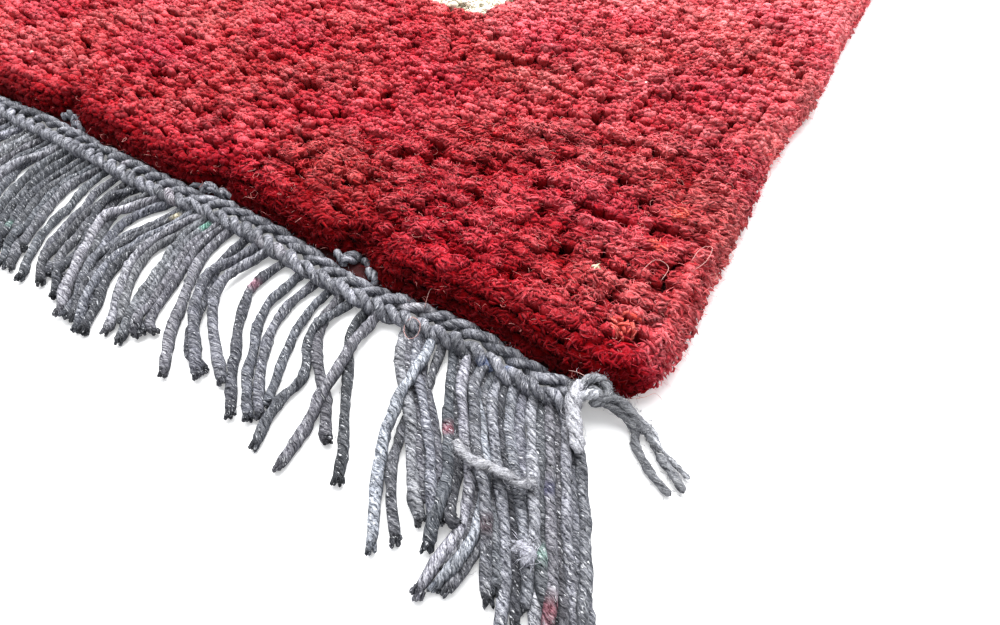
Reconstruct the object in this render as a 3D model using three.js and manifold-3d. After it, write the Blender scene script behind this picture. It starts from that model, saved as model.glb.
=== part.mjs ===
// A small hand-knotted wool rug with twined ends and a long fringe, in millimetres.
// +Z is up and +Y runs along the rug. The underside lies on Z = 0, with its centre at the origin.
import * as THREE from 'three';
import * as BufferGeometryUtils from 'three/addons/utils/BufferGeometryUtils.js';
import Module from 'manifold-3d';

// Driving dimensions of the knotted field
const RUG_WIDTH = 600;
const FIELD_LENGTH = 882;
const GROUND_THICKNESS = 3;
const PILE_TOP = 14;
const CORNER_RADIUS = 12;
const PARTED = 0.4;

// The twined edge and the strands that hang from it
const EDGE_STRIP_WIDTH = 9.2;
const EDGE_STRIP_HEIGHT = 5.4;
const STRIP_START = -297;
const STRIP_END = 284;
const STRAND_COUNT = 150;
const STRAND_PITCH = (STRIP_END - STRIP_START) / STRAND_COUNT;
const STRAND_WIDTH = 2.1;
const STRAND_HEIGHT = 2.4;
const STRAND_SEGMENTS = 3;
const STRAND_ROOT_DEPTH = 2;
const STRANDS_IN_LOCK = 5;
const LOCK_GATHER = 0.04;
const LENGTH_UNEVENNESS = 0.06;
const STRAND_SEED = 3;

// How the field's grid is divided
const GRID_ACROSS = 36;
const GRID_ALONG = 34;

// Low lumps of the pile's face: height, length and offset of the waves that make them, and unevenness
const LUMP_HEIGHT = 0.55;
const LUMP_WAVE = 47;
const LUMP_OFFSET = 1.3;
const LUMP_UNEVENNESS = 0.7;

const RED_WOOL = new THREE.MeshStandardMaterial({ color: 0xa8222c, roughness: 0.95, metalness: 0 });
const GREY_WOOL = new THREE.MeshStandardMaterial({ color: 0x74747c, roughness: 0.95, metalness: 0 });
const PALE_YARN = new THREE.MeshStandardMaterial({ color: 0x9a9894, roughness: 0.95, metalness: 0 });

// How far each end line and side line strays outwards from straight, at a place along it
const END_LINE = [
  { at: -300, out: 0.5 },
  { at: -235, out: -1.5 },
  { at: -160, out: 1 },
  { at: -80, out: -1 },
  { at: -10, out: 0.5 },
  { at: 60, out: -0.8 },
  { at: 115, out: 0.6 },
  { at: 160, out: -1.6 },
  { at: 212, out: 2.6 },
  { at: 248, out: 0 },
  { at: 280, out: 2.4 },
  { at: 300, out: 2 },
];
const SIDE_LINE = [
  { at: -441, out: 0.8 },
  { at: -418, out: 3.8 },
  { at: -389, out: 2.6 },
  { at: -353, out: 0.8 },
  { at: -320, out: -1.8 },
  { at: -270, out: -1.2 },
  { at: -214, out: 0 },
  { at: -145, out: 0.4 },
  { at: -60, out: -1.5 },
  { at: 40, out: 1.2 },
  { at: 130, out: -1 },
  { at: 220, out: 1.5 },
  { at: 310, out: -0.6 },
  { at: 390, out: 1.8 },
  { at: 441, out: 0 },
];

// Places where the pile stands back from the end and the grey ground shows
const BARE_PLACES = [
  { at: -206, depth: 6, reach: 9 },
  { at: -72, depth: 5, reach: 8 },
  { at: 45, depth: 7, reach: 8 },
  { at: 137, depth: 5, reach: 9 },
  { at: 203, depth: 7.5, reach: 9 },
];

// Section of the field's rim, from the floor up, at an end and at a side
const RIM = [
  { height: 0, endInset: 0, sideInset: 1.6 },
  { height: 1.8, endInset: 0, sideInset: 0.4 },
  { height: GROUND_THICKNESS, endInset: 0.4, sideInset: 0 },
  { height: 7.5, endInset: 0.2, sideInset: 0 },
  { height: 11.6, endInset: 1.5, sideInset: 1.7 },
  { height: 13.4, endInset: 4.6, sideInset: 4.8 },
];
const PILE_FOOT_LEVEL = 2;

// How the strands are combed: their lean from straight out, in degrees, and their length
const COMB = [
  { at: -300, lean: 14, length: 56 },
  { at: -220, lean: 20, length: 60 },
  { at: -130, lean: 19, length: 55 },
  { at: -50, lean: 24, length: 59 },
  { at: 20, lean: 23, length: 57 },
  { at: 90, lean: 27, length: 58 },
  { at: 138, lean: 25, length: 52 },
  { at: 172, lean: 29, length: 55 },
  { at: 215, lean: 31, length: 57 },
  { at: 250, lean: 33, length: 62 },
  { at: 284, lean: 33, length: 64 },
];
// A strand's heading at its root, and what it gains on the way to its tip, as shares of its lean
const HEADING_AT_ROOT = 0.7;
const HEADING_GAIN = 0.65;

// The knot that ties off each twined edge, and the free ends of its yarn
const TIE_RADIUS = 3.1;
const TIE_YARN_RADIUS = 1.15;
const TIE_STEPS = 26;
const TIE_SIDES = 4;
const TIE_CENTRE = new THREE.Vector3(292.2, -446.6, 4.7);
const TIE_TILT = 1.1;
const TIE_END_STEPS = 5;
const TIE_ENDS = [
  [[294, -446, 4], [301, -444.8, 2], [309, -449, 1.2], [319.5, -456.5, 1.2]],
  [[294, -447, 4], [301.5, -447.4, 1.6], [307.4, -454, 1.2], [315.6, -460, 1.2]],
];

// Value of one column at a place between the rows of a table, eased from row to row
function fromTable(rows, at, column) {
  if (at <= rows[0].at) return rows[0][column];
  const next = rows.findIndex((row) => row.at >= at);
  if (next < 0) return rows[rows.length - 1][column];
  const low = rows[next - 1];
  const high = rows[next];
  const share = THREE.MathUtils.smoothstep(at, low.at, high.at);
  return THREE.MathUtils.lerp(low[column], high[column], share);
}

// A repeatable number from 0 to 1 for a whole-numbered place
function scatter(a, b) {
  const wave = Math.sin(a * 127.1 + b * 311.7) * 43758.5453;
  return wave - Math.floor(wave);
}

// How far an end line stands out at x; the far end is the near end turned half round
function endOut(x, end) {
  return fromTable(END_LINE, x * -end, 'out');
}

// How far a side line stands out at y; side is +1 at +X and -1 at -X
function sideOut(y, side) {
  return fromTable(SIDE_LINE, y * side, 'out');
}

// How far the pile stands back from an end at x
function standBack(x, end) {
  return BARE_PLACES.reduce((sum, place) => {
    const away = (x * -end - place.at) / place.reach;
    return sum + place.depth * Math.exp(-away * away);
  }, 0);
}

// Height of the pile's face above its usual level
function lump(x, y) {
  const broad = Math.sin(x / LUMP_WAVE + Math.sin(y / LUMP_WAVE)) * Math.sin(y / LUMP_WAVE + LUMP_OFFSET);
  const fine = scatter(Math.round(x), Math.round(y)) * 2 - 1;
  return LUMP_HEIGHT * (broad + fine * LUMP_UNEVENNESS);
}

// Plan position of a grid point on the field's rim at one level of the rim's section
function rimPoint(column, row, level) {
  const across = (column / GRID_ACROSS) * 2 - 1;
  const along = (row / GRID_ALONG) * 2 - 1;
  const atSide = column === 0 || column === GRID_ACROSS;
  const atEnd = row === 0 || row === GRID_ALONG;
  let x = (across * RUG_WIDTH) / 2;
  let y = (along * FIELD_LENGTH) / 2;
  const section = RIM[level];
  const back = level >= PILE_FOOT_LEVEL ? standBack(x, Math.sign(along)) : 0;
  const rounding = atSide && atEnd ? CORNER_RADIUS * (1 - Math.SQRT1_2) : 0;
  if (atSide) {
    x += Math.sign(across) * (sideOut(y, Math.sign(across)) - section.sideInset - rounding);
  }
  if (atEnd) {
    y += Math.sign(along) * (endOut(x, Math.sign(along)) - section.endInset - back - rounding);
  }
  // Above the ground, points on a side draw in towards the ends with the section, and the reverse
  if (!atSide && level >= PILE_FOOT_LEVEL) x *= 1 - section.sideInset / (RUG_WIDTH / 2);
  if (!atEnd && level >= PILE_FOOT_LEVEL) y *= 1 - section.endInset / (FIELD_LENGTH / 2);
  return new THREE.Vector3(x, y, section.height);
}

// Point inside the face of the pile, spread between the top level of the rim
function facePoint(column, row) {
  const top = RIM.length - 1;
  const west = rimPoint(0, row, top);
  const east = rimPoint(GRID_ACROSS, row, top);
  const near = rimPoint(column, 0, top);
  const far = rimPoint(column, GRID_ALONG, top);
  const x = THREE.MathUtils.lerp(west.x, east.x, column / GRID_ACROSS);
  const y = THREE.MathUtils.lerp(near.y, far.y, row / GRID_ALONG);
  return new THREE.Vector3(x, y, PILE_TOP + lump(x, y));
}

// Grid places round the rim, counter-clockwise from the near left corner
function rimPlaces() {
  const places = [];
  for (let column = 0; column < GRID_ACROSS; column += 1) places.push([column, 0]);
  for (let row = 0; row < GRID_ALONG; row += 1) places.push([GRID_ACROSS, row]);
  for (let column = GRID_ACROSS; column > 0; column -= 1) places.push([column, GRID_ALONG]);
  for (let row = GRID_ALONG; row > 0; row -= 1) places.push([0, row]);
  return places;
}

function geometryFrom(points, triangles) {
  const geometry = new THREE.BufferGeometry();
  geometry.setAttribute('position', new THREE.Float32BufferAttribute(points.flatMap((p) => p.toArray()), 3));
  geometry.setIndex(triangles.flat());
  return geometry;
}

// The knotted field: ground and pile in one slab with a wavy rim and a lumpy face
function fieldGeometry() {
  const points = [];
  const triangles = [];
  const places = rimPlaces();
  const turn = places.length;
  RIM.forEach((_, level) => {
    places.forEach(([column, row]) => points.push(rimPoint(column, row, level)));
  });
  for (let level = 0; level < RIM.length - 1; level += 1) {
    for (let step = 0; step < turn; step += 1) {
      const low = level * turn + step;
      const lowNext = level * turn + ((step + 1) % turn);
      triangles.push([low, lowNext, lowNext + turn], [low, lowNext + turn, low + turn]);
    }
  }
  // Flat underside
  const outline = points.slice(0, turn).map((p) => new THREE.Vector2(p.x, p.y));
  THREE.ShapeUtils.triangulateShape(outline, []).forEach(([a, b, c]) => triangles.push([a, c, b]));
  // Face of the pile
  const topStart = (RIM.length - 1) * turn;
  const index = new Map(places.map(([column, row], step) => [`${column},${row}`, topStart + step]));
  for (let row = 1; row < GRID_ALONG; row += 1) {
    for (let column = 1; column < GRID_ACROSS; column += 1) {
      index.set(`${column},${row}`, points.length);
      points.push(facePoint(column, row));
    }
  }
  for (let row = 0; row < GRID_ALONG; row += 1) {
    for (let column = 0; column < GRID_ACROSS; column += 1) {
      const a = index.get(`${column},${row}`);
      const b = index.get(`${column + 1},${row}`);
      const c = index.get(`${column + 1},${row + 1}`);
      const d = index.get(`${column},${row + 1}`);
      triangles.push([a, b, c], [a, c, d]);
    }
  }
  return geometryFrom(points, triangles);
}

// A closed body through a row of sections that all have the same number of points
function loft(sections) {
  const size = sections[0].length;
  const points = sections.flat();
  const triangles = [];
  for (let station = 0; station < sections.length - 1; station += 1) {
    for (let step = 0; step < size; step += 1) {
      const a = station * size + step;
      const b = station * size + ((step + 1) % size);
      triangles.push([a, b, b + size], [a, b + size, a + size]);
    }
  }
  const last = (sections.length - 1) * size;
  for (let step = 1; step < size - 1; step += 1) {
    triangles.push([0, step + 1, step], [last, last + step, last + step + 1]);
  }
  return geometryFrom(points, triangles);
}

// Y of the line where the twined edge meets the field at the near end
function seamY(x) {
  return -FIELD_LENGTH / 2 - endOut(x, -1) - PARTED;
}

// The twined edge: a narrow strip whose section has two ridges
function stripGeometry() {
  const section = [
    { out: 0, height: 0 },
    { out: 0, height: 0.55 },
    { out: 0.22, height: 1 },
    { out: 0.48, height: 0.72 },
    { out: 0.76, height: 0.95 },
    { out: 1, height: 0.5 },
    { out: 1, height: 0 },
  ];
  // Its stations are the field's own grid columns, so that the parting is even all along
  const columns = Array.from({ length: GRID_ACROSS }, (_, column) => (column / GRID_ACROSS - 0.5) * RUG_WIDTH);
  const inside = columns.filter((x) => x > STRIP_START && x < STRIP_END);
  return loft([STRIP_START, ...inside, STRIP_END].map((x) => section.map((p) => new THREE.Vector3(
    x,
    seamY(x) - p.out * EDGE_STRIP_WIDTH,
    p.height * EDGE_STRIP_HEIGHT,
  ))));
}

// One strand of the fringe, lying on the floor from its root in the strip to its tip
function strandGeometry(index) {
  const rootX = STRIP_START + (index + 0.5) * STRAND_PITCH;
  const placeInLock = (index % STRANDS_IN_LOCK) - (STRANDS_IN_LOCK - 1) / 2;
  const uneven = LENGTH_UNEVENNESS * (2 * scatter(index, STRAND_SEED) - 1);
  const length = fromTable(COMB, rootX, 'length') * (1 + uneven);
  const gather = Math.atan((-placeInLock * LOCK_GATHER * STRAND_PITCH) / length);
  const lean = THREE.MathUtils.degToRad(fromTable(COMB, rootX, 'lean')) + gather;
  const place = new THREE.Vector2(rootX, seamY(rootX) - EDGE_STRIP_WIDTH + STRAND_ROOT_DEPTH);
  const sections = [];
  for (let station = 0; station <= STRAND_SEGMENTS; station += 1) {
    const travelled = station / STRAND_SEGMENTS;
    const heading = lean * (HEADING_AT_ROOT + HEADING_GAIN * Math.sqrt(travelled));
    const forward = new THREE.Vector2(Math.sin(heading), -Math.cos(heading));
    const half = new THREE.Vector2(-forward.y, forward.x).multiplyScalar(STRAND_WIDTH / 2);
    sections.push([
      new THREE.Vector3(place.x + half.x, place.y + half.y, 0),
      new THREE.Vector3(place.x, place.y, STRAND_HEIGHT),
      new THREE.Vector3(place.x - half.x, place.y - half.y, 0),
    ]);
    place.addScaledVector(forward, (length + STRAND_ROOT_DEPTH) / STRAND_SEGMENTS);
  }
  return loft(sections);
}

const wasm = await Module();
wasm.setup();

// A closed geometry as a solid that can be joined
function solidFrom(geometry) {
  const bare = geometry.clone();
  bare.deleteAttribute('normal');
  bare.deleteAttribute('uv');
  const merged = BufferGeometryUtils.mergeVertices(bare, 1e-4);
  return new wasm.Manifold(new wasm.Mesh({
    numProp: 3,
    vertProperties: new Float32Array(merged.attributes.position.array),
    triVerts: new Uint32Array(merged.index.array),
  }));
}

// Several closed geometries that touch or cross, joined as one body
function fused(geometries) {
  const whole = geometries.map(solidFrom).reduce((sum, solid) => sum.add(solid));
  const mesh = whole.getMesh();
  const geometry = new THREE.BufferGeometry();
  geometry.setAttribute('position', new THREE.BufferAttribute(mesh.vertProperties, 3));
  geometry.setIndex(new THREE.BufferAttribute(mesh.triVerts, 1));
  return geometry;
}

// Strip and strands of one end, fused at the strands' roots
function fringeGeometry() {
  const strands = Array.from({ length: STRAND_COUNT }, (_, index) => strandGeometry(index));
  return fused([stripGeometry(), ...strands]);
}

// A round yarn along a smooth route, with closed ends
function yarnGeometry(route) {
  const outline = new THREE.Shape();
  for (let side = 0; side < TIE_SIDES; side += 1) {
    const angle = (side / TIE_SIDES) * Math.PI * 2;
    const x = TIE_YARN_RADIUS * Math.cos(angle);
    const y = TIE_YARN_RADIUS * Math.sin(angle);
    if (side === 0) outline.moveTo(x, y);
    else outline.lineTo(x, y);
  }
  const path = new THREE.CatmullRomCurve3(route.map((p) => new THREE.Vector3(...p)));
  return new THREE.ExtrudeGeometry(outline, {
    steps: TIE_END_STEPS,
    bevelEnabled: false,
    extrudePath: path,
  });
}

// The knot at the end of a twined edge with the free ends of its yarn
function tieGeometry() {
  const knot = new THREE.TorusKnotGeometry(TIE_RADIUS, TIE_YARN_RADIUS, TIE_STEPS, TIE_SIDES, 2, 3);
  knot.rotateX(TIE_TILT);
  knot.translate(TIE_CENTRE.x, TIE_CENTRE.y, TIE_CENTRE.z);
  return fused([knot, ...TIE_ENDS.map(yarnGeometry)]);
}

const rug = new THREE.Group();

function addPiece(name, geometry, material, halfTurn = false) {
  const piece = new THREE.Mesh(geometry, material);
  piece.name = name;
  if (halfTurn) piece.rotation.z = Math.PI;
  rug.add(piece);
}

const fringe = fringeGeometry();
const tie = tieGeometry();
addPiece('knotted_field', fieldGeometry(), RED_WOOL);
addPiece('fringe_near', fringe, GREY_WOOL);
addPiece('fringe_far', fringe, GREY_WOOL, true);
addPiece('corner_tie_near', tie, PALE_YARN);
addPiece('corner_tie_far', tie, PALE_YARN, true);

export default rug;
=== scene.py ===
"""A hand-knotted wool rug, seen close at one corner: red cut pile, a twined grey edge and a long grey fringe.

Every size is in millimetres unless its name says otherwise, and MM turns it into Blender's metres. The rug
lies on the floor at z = 0, its middle at the origin, its width along X and its length along Y. The near end is
the one towards -Y. Small things, such as tufts and strands of yarn, are modelled once and copied along their
own routes.
"""

import logging
import math
from dataclasses import dataclass, field
from enum import Enum

import bpy
import numpy as np
from mathutils import Matrix, Vector

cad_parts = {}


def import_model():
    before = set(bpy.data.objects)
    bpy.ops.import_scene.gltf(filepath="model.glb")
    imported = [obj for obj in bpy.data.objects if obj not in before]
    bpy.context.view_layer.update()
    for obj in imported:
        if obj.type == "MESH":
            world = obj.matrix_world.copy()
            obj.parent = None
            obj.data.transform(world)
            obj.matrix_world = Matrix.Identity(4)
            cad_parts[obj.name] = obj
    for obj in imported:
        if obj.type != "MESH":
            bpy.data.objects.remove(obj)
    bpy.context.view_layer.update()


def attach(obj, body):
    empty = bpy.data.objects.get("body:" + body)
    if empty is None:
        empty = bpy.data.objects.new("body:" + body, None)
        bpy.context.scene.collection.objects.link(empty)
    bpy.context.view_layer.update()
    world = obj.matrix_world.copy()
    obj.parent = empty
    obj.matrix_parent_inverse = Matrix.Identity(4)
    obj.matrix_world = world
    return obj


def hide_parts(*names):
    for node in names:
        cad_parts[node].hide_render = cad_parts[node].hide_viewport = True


MM = 0.001
UP = np.array([0.0, 0.0, 1.0])
# the share of its cell in the map that is left free round each copy
MAP_GAP = 0.04
log = logging.getLogger("rug")


def linear(red: float, green: float, blue: float) -> np.ndarray:
    """Turns a colour as seen on a screen, from 0 to 255, into the linear one that shaders use."""
    part = np.array([red, green, blue]) / 255
    return np.where(part <= 0.04045, part / 12.92, ((part + 0.055) / 1.055) ** 2.4)


def smooth(share: np.ndarray) -> np.ndarray:
    """Eases a share from 0 to 1, flat at both ends."""
    held = np.clip(share, 0, 1)
    return held * held * (3 - 2 * held)


def from_table(rows: tuple, at: np.ndarray) -> np.ndarray:
    """Reads a table of (place, value) rows, easing from each row to the next.

    Args:
        rows: The rows, sorted by place. A value may be a number or a tuple of numbers.
        at: The places to read it at.

    Returns:
        The values there, with one more axis where the rows hold tuples.
    """
    places = np.array([row[0] for row in rows], float)
    values = np.array([row[1] for row in rows], float)
    held = np.clip(at, places[0], places[-1])
    index = np.clip(np.searchsorted(places, held, side="right") - 1, 0, len(places) - 2)
    share = smooth((held - places[index]) / (places[index + 1] - places[index]))
    if values.ndim > 1:
        share = share[..., None]
    return values[index] * (1 - share) + values[index + 1] * share


def drift(x: np.ndarray, y: np.ndarray, wave: float, seed: int) -> np.ndarray:
    """Gives a slow, uneven change over the rug, from about -1 to 1, with the given length of wave."""
    rng = np.random.default_rng(seed)
    total = np.zeros(np.broadcast(x, y).shape)
    for _ in range(6):
        heading, phase, stretch = rng.uniform(0, math.tau), rng.uniform(0, math.tau), rng.uniform(0.6, 1.6)
        along = (x * math.cos(heading) + y * math.sin(heading)) * math.tau / (wave * stretch)
        total += np.sin(along + phase)
    return total / 3


def drift_along(x: np.ndarray, wave: float, seed: int) -> np.ndarray:
    """Gives the same slow change along a line."""
    return drift(x, x * 0, wave, seed)


def level_way(heading: np.ndarray) -> np.ndarray:
    """Gives the level direction of each angle."""
    return np.stack([np.cos(heading), np.sin(heading), np.zeros(len(heading))], 1)


def normalised(vectors: np.ndarray) -> np.ndarray:
    """Gives vectors of length one along the last axis."""
    return vectors / np.maximum(np.linalg.norm(vectors, axis=-1, keepdims=True), 1e-9)


def deselect_all() -> None:
    """Leaves nothing selected, because an operator acts on all that is."""
    for item in bpy.context.selected_objects:
        item.select_set(False)


class End(Enum):
    """The two ends of the rug, by the direction of Y in which they lie."""

    NEAR = -1
    FAR = 1


class Zone(Enum):
    """How closely a part of the pile is seen from the camera's own place."""

    CORNER = "corner"
    FRONT = "front"
    TOP = "top"
    BACK = "back"


class Lit(Enum):
    """Which way the painted shade on a small shape gives way to light: from the root to the tip, from the
    underside to the top, or not at all.
    """

    TO_THE_TIP = "to the tip"
    UPWARDS = "upwards"
    EVENLY = "evenly"


class Sway(Enum):
    """The slow changes over the field: how long the waves of each are, and its seed."""

    ROW_SHIFT = (28, 5)
    LEAN_ACROSS = (44, 6)
    LEAN_ALONG = (37, 7)
    HEIGHT = (47, 8)
    FINE_HEIGHT = (13, 9)
    BRIGHTNESS = (34, 10)
    WARMTH = (60, 12)
    FLOW = (55, 13)
    SUNK_ROWS = (26, 15)
    PARTING = (11, 23)

    def over(self, u: np.ndarray, v: np.ndarray) -> np.ndarray:
        """Gives the change at places of the straight field, from about -1 to 1."""
        wave, seed = self.value
        return drift(u, v, wave, seed)


@dataclass(frozen=True)
class RugShape:
    """The rug's outline, which every sub-assembly follows."""

    width: float = 600.0
    length: float = 882.0
    ground: float = 3.0
    pile_top: float = 14.0
    corner_radius: float = 12.0
    parted: float = 0.4
    edge_start: float = -297.0
    edge_stop: float = 288.0
    waviness_reach: float = 60.0
    # place along the end, how far the end lies outside its straight line
    end_line: tuple = (
        (-300, 0.5), (-235, -1.5), (-160, 1), (-80, -1), (-10, 0.5), (60, -0.8), (115, 0.6), (160, -1.6),
        (212, 2.6), (248, 0), (280, 2.4), (300, 2),
    )
    # place along the side, how far the side lies outside its straight line
    side_line: tuple = (
        (-441, 0.8), (-418, 4.0), (-389, 1.8), (-353, 0.7), (-320, -1.2), (-295, -0.6), (-268, 2.0),
        (-240, 1.4), (-205, 0.2), (-145, 0.4), (-60, -1.5), (40, 1.2), (130, -1), (220, 1.5), (310, -0.6),
        (390, 1.8), (441, 0),
    )
    # place along the end, how far the pile stands back there, half the width of that place
    bare_places: tuple = ((-206, 6, 9), (-72, 5, 8), (45, 7, 8), (137, 5, 9), (203, 7.5, 9))

    def end_out(self, x: np.ndarray, end: End) -> np.ndarray:
        """How far outside its straight line an end lies at x."""
        return from_table(self.end_line, x * -end.value)

    def side_out(self, x: np.ndarray, y: np.ndarray) -> np.ndarray:
        """How far outside its straight line the side nearest to x lies at y."""
        return from_table(self.side_line, y * np.where(x < 0, -1, 1))

    def stand_back(self, x: np.ndarray, end: End) -> np.ndarray:
        """How far the pile stands back from an end at x, where the ground shows."""
        total = np.zeros(np.shape(x))
        for at, depth, reach in self.bare_places:
            total = total + depth * np.exp(-(((x * -end.value - at) / reach) ** 2))
        return total

    def set_back(self, x: np.ndarray, y: np.ndarray, out_y: np.ndarray) -> np.ndarray:
        """How far the pile stands back at points, where out_y is the Y part of the way out of the field."""
        back = np.where(y < 0, self.stand_back(x, End.NEAR), self.stand_back(x, End.FAR))
        return back * np.abs(out_y)

    def seam(self, x: np.ndarray, end: End) -> np.ndarray:
        """The y of the line where an end's twined edge begins."""
        return end.value * (self.length / 2 + self.end_out(x, end) + self.parted)

    def placed(self, x: np.ndarray, y: np.ndarray) -> tuple[np.ndarray, np.ndarray]:
        """Moves points of the straight field to the wavy outline.

        Args:
            x: Places across the straight field.
            y: Places along it.

        Returns:
            The moved x and y.
        """
        near_side = np.exp(-(self.width / 2 - np.abs(x)) / self.waviness_reach)
        near_end = np.exp(-(self.length / 2 - np.abs(y)) / self.waviness_reach)
        end_move = np.where(y < 0, -self.end_out(x, End.NEAR), self.end_out(x, End.FAR))
        side_move = np.sign(x) * self.side_out(x, y)
        return x + side_move * near_side, y + end_move * near_end

    def rim_gap(self, x: np.ndarray, y: np.ndarray) -> tuple[np.ndarray, np.ndarray, np.ndarray]:
        """Measures how far inside the rounded outline points lie.

        Args:
            x: Places across the straight field.
            y: Places along it.

        Returns:
            The distance to the outline and the x and y of the direction outwards.
        """
        past_x = np.abs(x) - (self.width / 2 - self.corner_radius)
        past_y = np.abs(y) - (self.length / 2 - self.corner_radius)
        rounded = (past_x > 0) & (past_y > 0)
        reach = np.maximum(np.hypot(past_x, past_y), 1e-6)
        gap = self.corner_radius - np.where(rounded, reach, np.maximum(past_x, past_y))
        out_x = np.where(rounded, past_x / reach, (past_x > past_y) * 1.0) * np.sign(x)
        out_y = np.where(rounded, past_y / reach, (past_x <= past_y) * 1.0) * np.sign(y)
        return gap - self.set_back(x, y, out_y), out_x, out_y

    def around(self, spacing: float) -> tuple[np.ndarray, np.ndarray]:
        """Walks once round the straight outline with its rounded corners.

        Args:
            spacing: How far apart the points are wanted.

        Returns:
            The x and y of the points.
        """
        turn = np.linspace(0, math.pi / 2, 9)
        angle = np.concatenate([turn + quarter * math.pi / 2 for quarter in range(4)])
        half = np.array([self.width, self.length]) / 2 - self.corner_radius
        middle = np.repeat([[1, 1], [-1, 1], [-1, -1], [1, -1]], len(turn), 0) * half
        line = middle + self.corner_radius * np.stack([np.cos(angle), np.sin(angle)], 1)
        line = np.concatenate([line, line[:1]])
        travelled = np.concatenate([[0.0], np.cumsum(np.linalg.norm(np.diff(line, axis=0), axis=1))])
        at = np.arange(int(travelled[-1] / spacing)) * travelled[-1] / int(travelled[-1] / spacing)
        return np.interp(at, travelled, line[:, 0]), np.interp(at, travelled, line[:, 1])


@dataclass(frozen=True)
class CameraPlace:
    """The camera's place and turn, as fitted to the photograph's frame."""

    frame_width: float = 1000.0
    frame_height: float = 625.0
    focal_pixels: float = 602.37
    sensor_mm: float = 36.0
    yaw: float = 33.15
    depression: float = 47.80
    roll: float = -0.69
    place: tuple = (317.87, -532.41, 134.40)

    def axes(self) -> tuple[np.ndarray, np.ndarray, np.ndarray]:
        """Gives the directions to the right, upwards and backwards of the camera."""
        a, e, r = (math.radians(angle) for angle in (self.yaw, self.depression, self.roll))
        back = np.array([math.sin(a) * math.cos(e), -math.cos(a) * math.cos(e), math.sin(e)])
        right = np.array([math.cos(a), math.sin(a), 0.0])
        up = np.cross(back, right)
        return math.cos(r) * right + math.sin(r) * up, math.cos(r) * up - math.sin(r) * right, back

    def sees(self, points: np.ndarray, margin: float) -> np.ndarray:
        """Tells which points are in the frame, or within a margin of it.

        Args:
            points: Places in millimetres, along the last axis.
            margin: The margin in the frame's own pixels.

        Returns:
            True for each point that is seen.
        """
        right, up, back = self.axes()
        away = points - np.array(self.place)
        depth = np.maximum(-(away @ back), 1e-3)
        across = np.abs(away @ right) / depth * self.focal_pixels
        along = np.abs(away @ up) / depth * self.focal_pixels
        in_front = -(away @ back) > 1
        return in_front & (across < self.frame_width / 2 + margin) & (along < self.frame_height / 2 + margin)

    def distance(self, points: np.ndarray) -> np.ndarray:
        """How far points lie from the camera."""
        return np.linalg.norm(points - np.array(self.place), axis=-1)

    def build(self) -> None:
        """Makes the camera and gives it to the scene."""
        right, up, back = self.axes()
        data = bpy.data.cameras.new("camera")
        data.sensor_width = self.sensor_mm
        data.lens = self.focal_pixels * self.sensor_mm / self.frame_width
        data.clip_start, data.clip_end = 0.01, 100
        camera = bpy.data.objects.new("camera", data)
        bpy.context.scene.collection.objects.link(camera)
        turn = Matrix([right, up, back]).transposed().to_4x4()
        camera.matrix_world = Matrix.Translation(Vector(self.place) * MM) @ turn
        bpy.context.scene.camera = camera


class Web:
    """A node tree that is filled by short calls."""

    def __init__(self, tree: bpy.types.NodeTree) -> None:
        """Starts with an empty tree."""
        self.tree = tree
        tree.nodes.clear()

    def add(self, kind: str, inputs: dict | None = None, **settings: object) -> bpy.types.Node:
        """Adds a node.

        Args:
            kind: The node's type.
            inputs: What goes into its sockets, by name or number: a value, or a socket to link from.
            settings: Its own properties.

        Returns:
            The node.
        """
        node = self.tree.nodes.new(kind)
        for name, value in settings.items():
            setattr(node, name, value)
        for name, value in (inputs or {}).items():
            if isinstance(value, bpy.types.NodeSocket):
                self.tree.links.new(value, node.inputs[name])
            else:
                node.inputs[name].default_value = value
        return node

    def math(self, operation: str, *values: object) -> bpy.types.NodeSocket:
        """Adds a Math node and gives its result."""
        return self.add("ShaderNodeMath", dict(enumerate(values)), operation=operation).outputs[0]

    def scaled(self, vector: bpy.types.NodeSocket, factors: object) -> bpy.types.NodeSocket:
        """Multiplies a vector by another and gives the result."""
        node = self.add("ShaderNodeVectorMath", {0: vector, 1: factors}, operation="MULTIPLY")
        return node.outputs[0]

    def noise(self, vector: bpy.types.NodeSocket, scale: float, detail: float = 2.0) -> bpy.types.NodeSocket:
        """Adds a noise and gives its value."""
        inputs = {"Vector": vector, "Scale": scale, "Detail": detail, "Roughness": 0.6}
        return self.add("ShaderNodeTexNoise", inputs).outputs[0]

    def ramp(self, value: object, low: object, high: object, start: float = 0.0,
             stop: float = 1.0) -> bpy.types.NodeSocket:
        """Maps a value from low..high to start..stop, held at both ends, and gives the result."""
        inputs = {"Value": value, "From Min": low, "From Max": high, "To Min": start, "To Max": stop}
        return self.add("ShaderNodeMapRange", inputs).outputs[0]

    def lengthened(self, vector: bpy.types.NodeSocket, factor: object) -> bpy.types.NodeSocket:
        """Multiplies a vector by a number and gives the result."""
        node = self.add("ShaderNodeVectorMath", {0: vector, "Scale": factor}, operation="SCALE")
        return node.outputs[0]

    def mixed(self, share: object, first: object, second: object) -> bpy.types.NodeSocket:
        """Mixes two colours and gives the result."""
        node = self.add("ShaderNodeMix", {0: share, 6: first, 7: second}, data_type="RGBA")
        return node.outputs[2]


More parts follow.
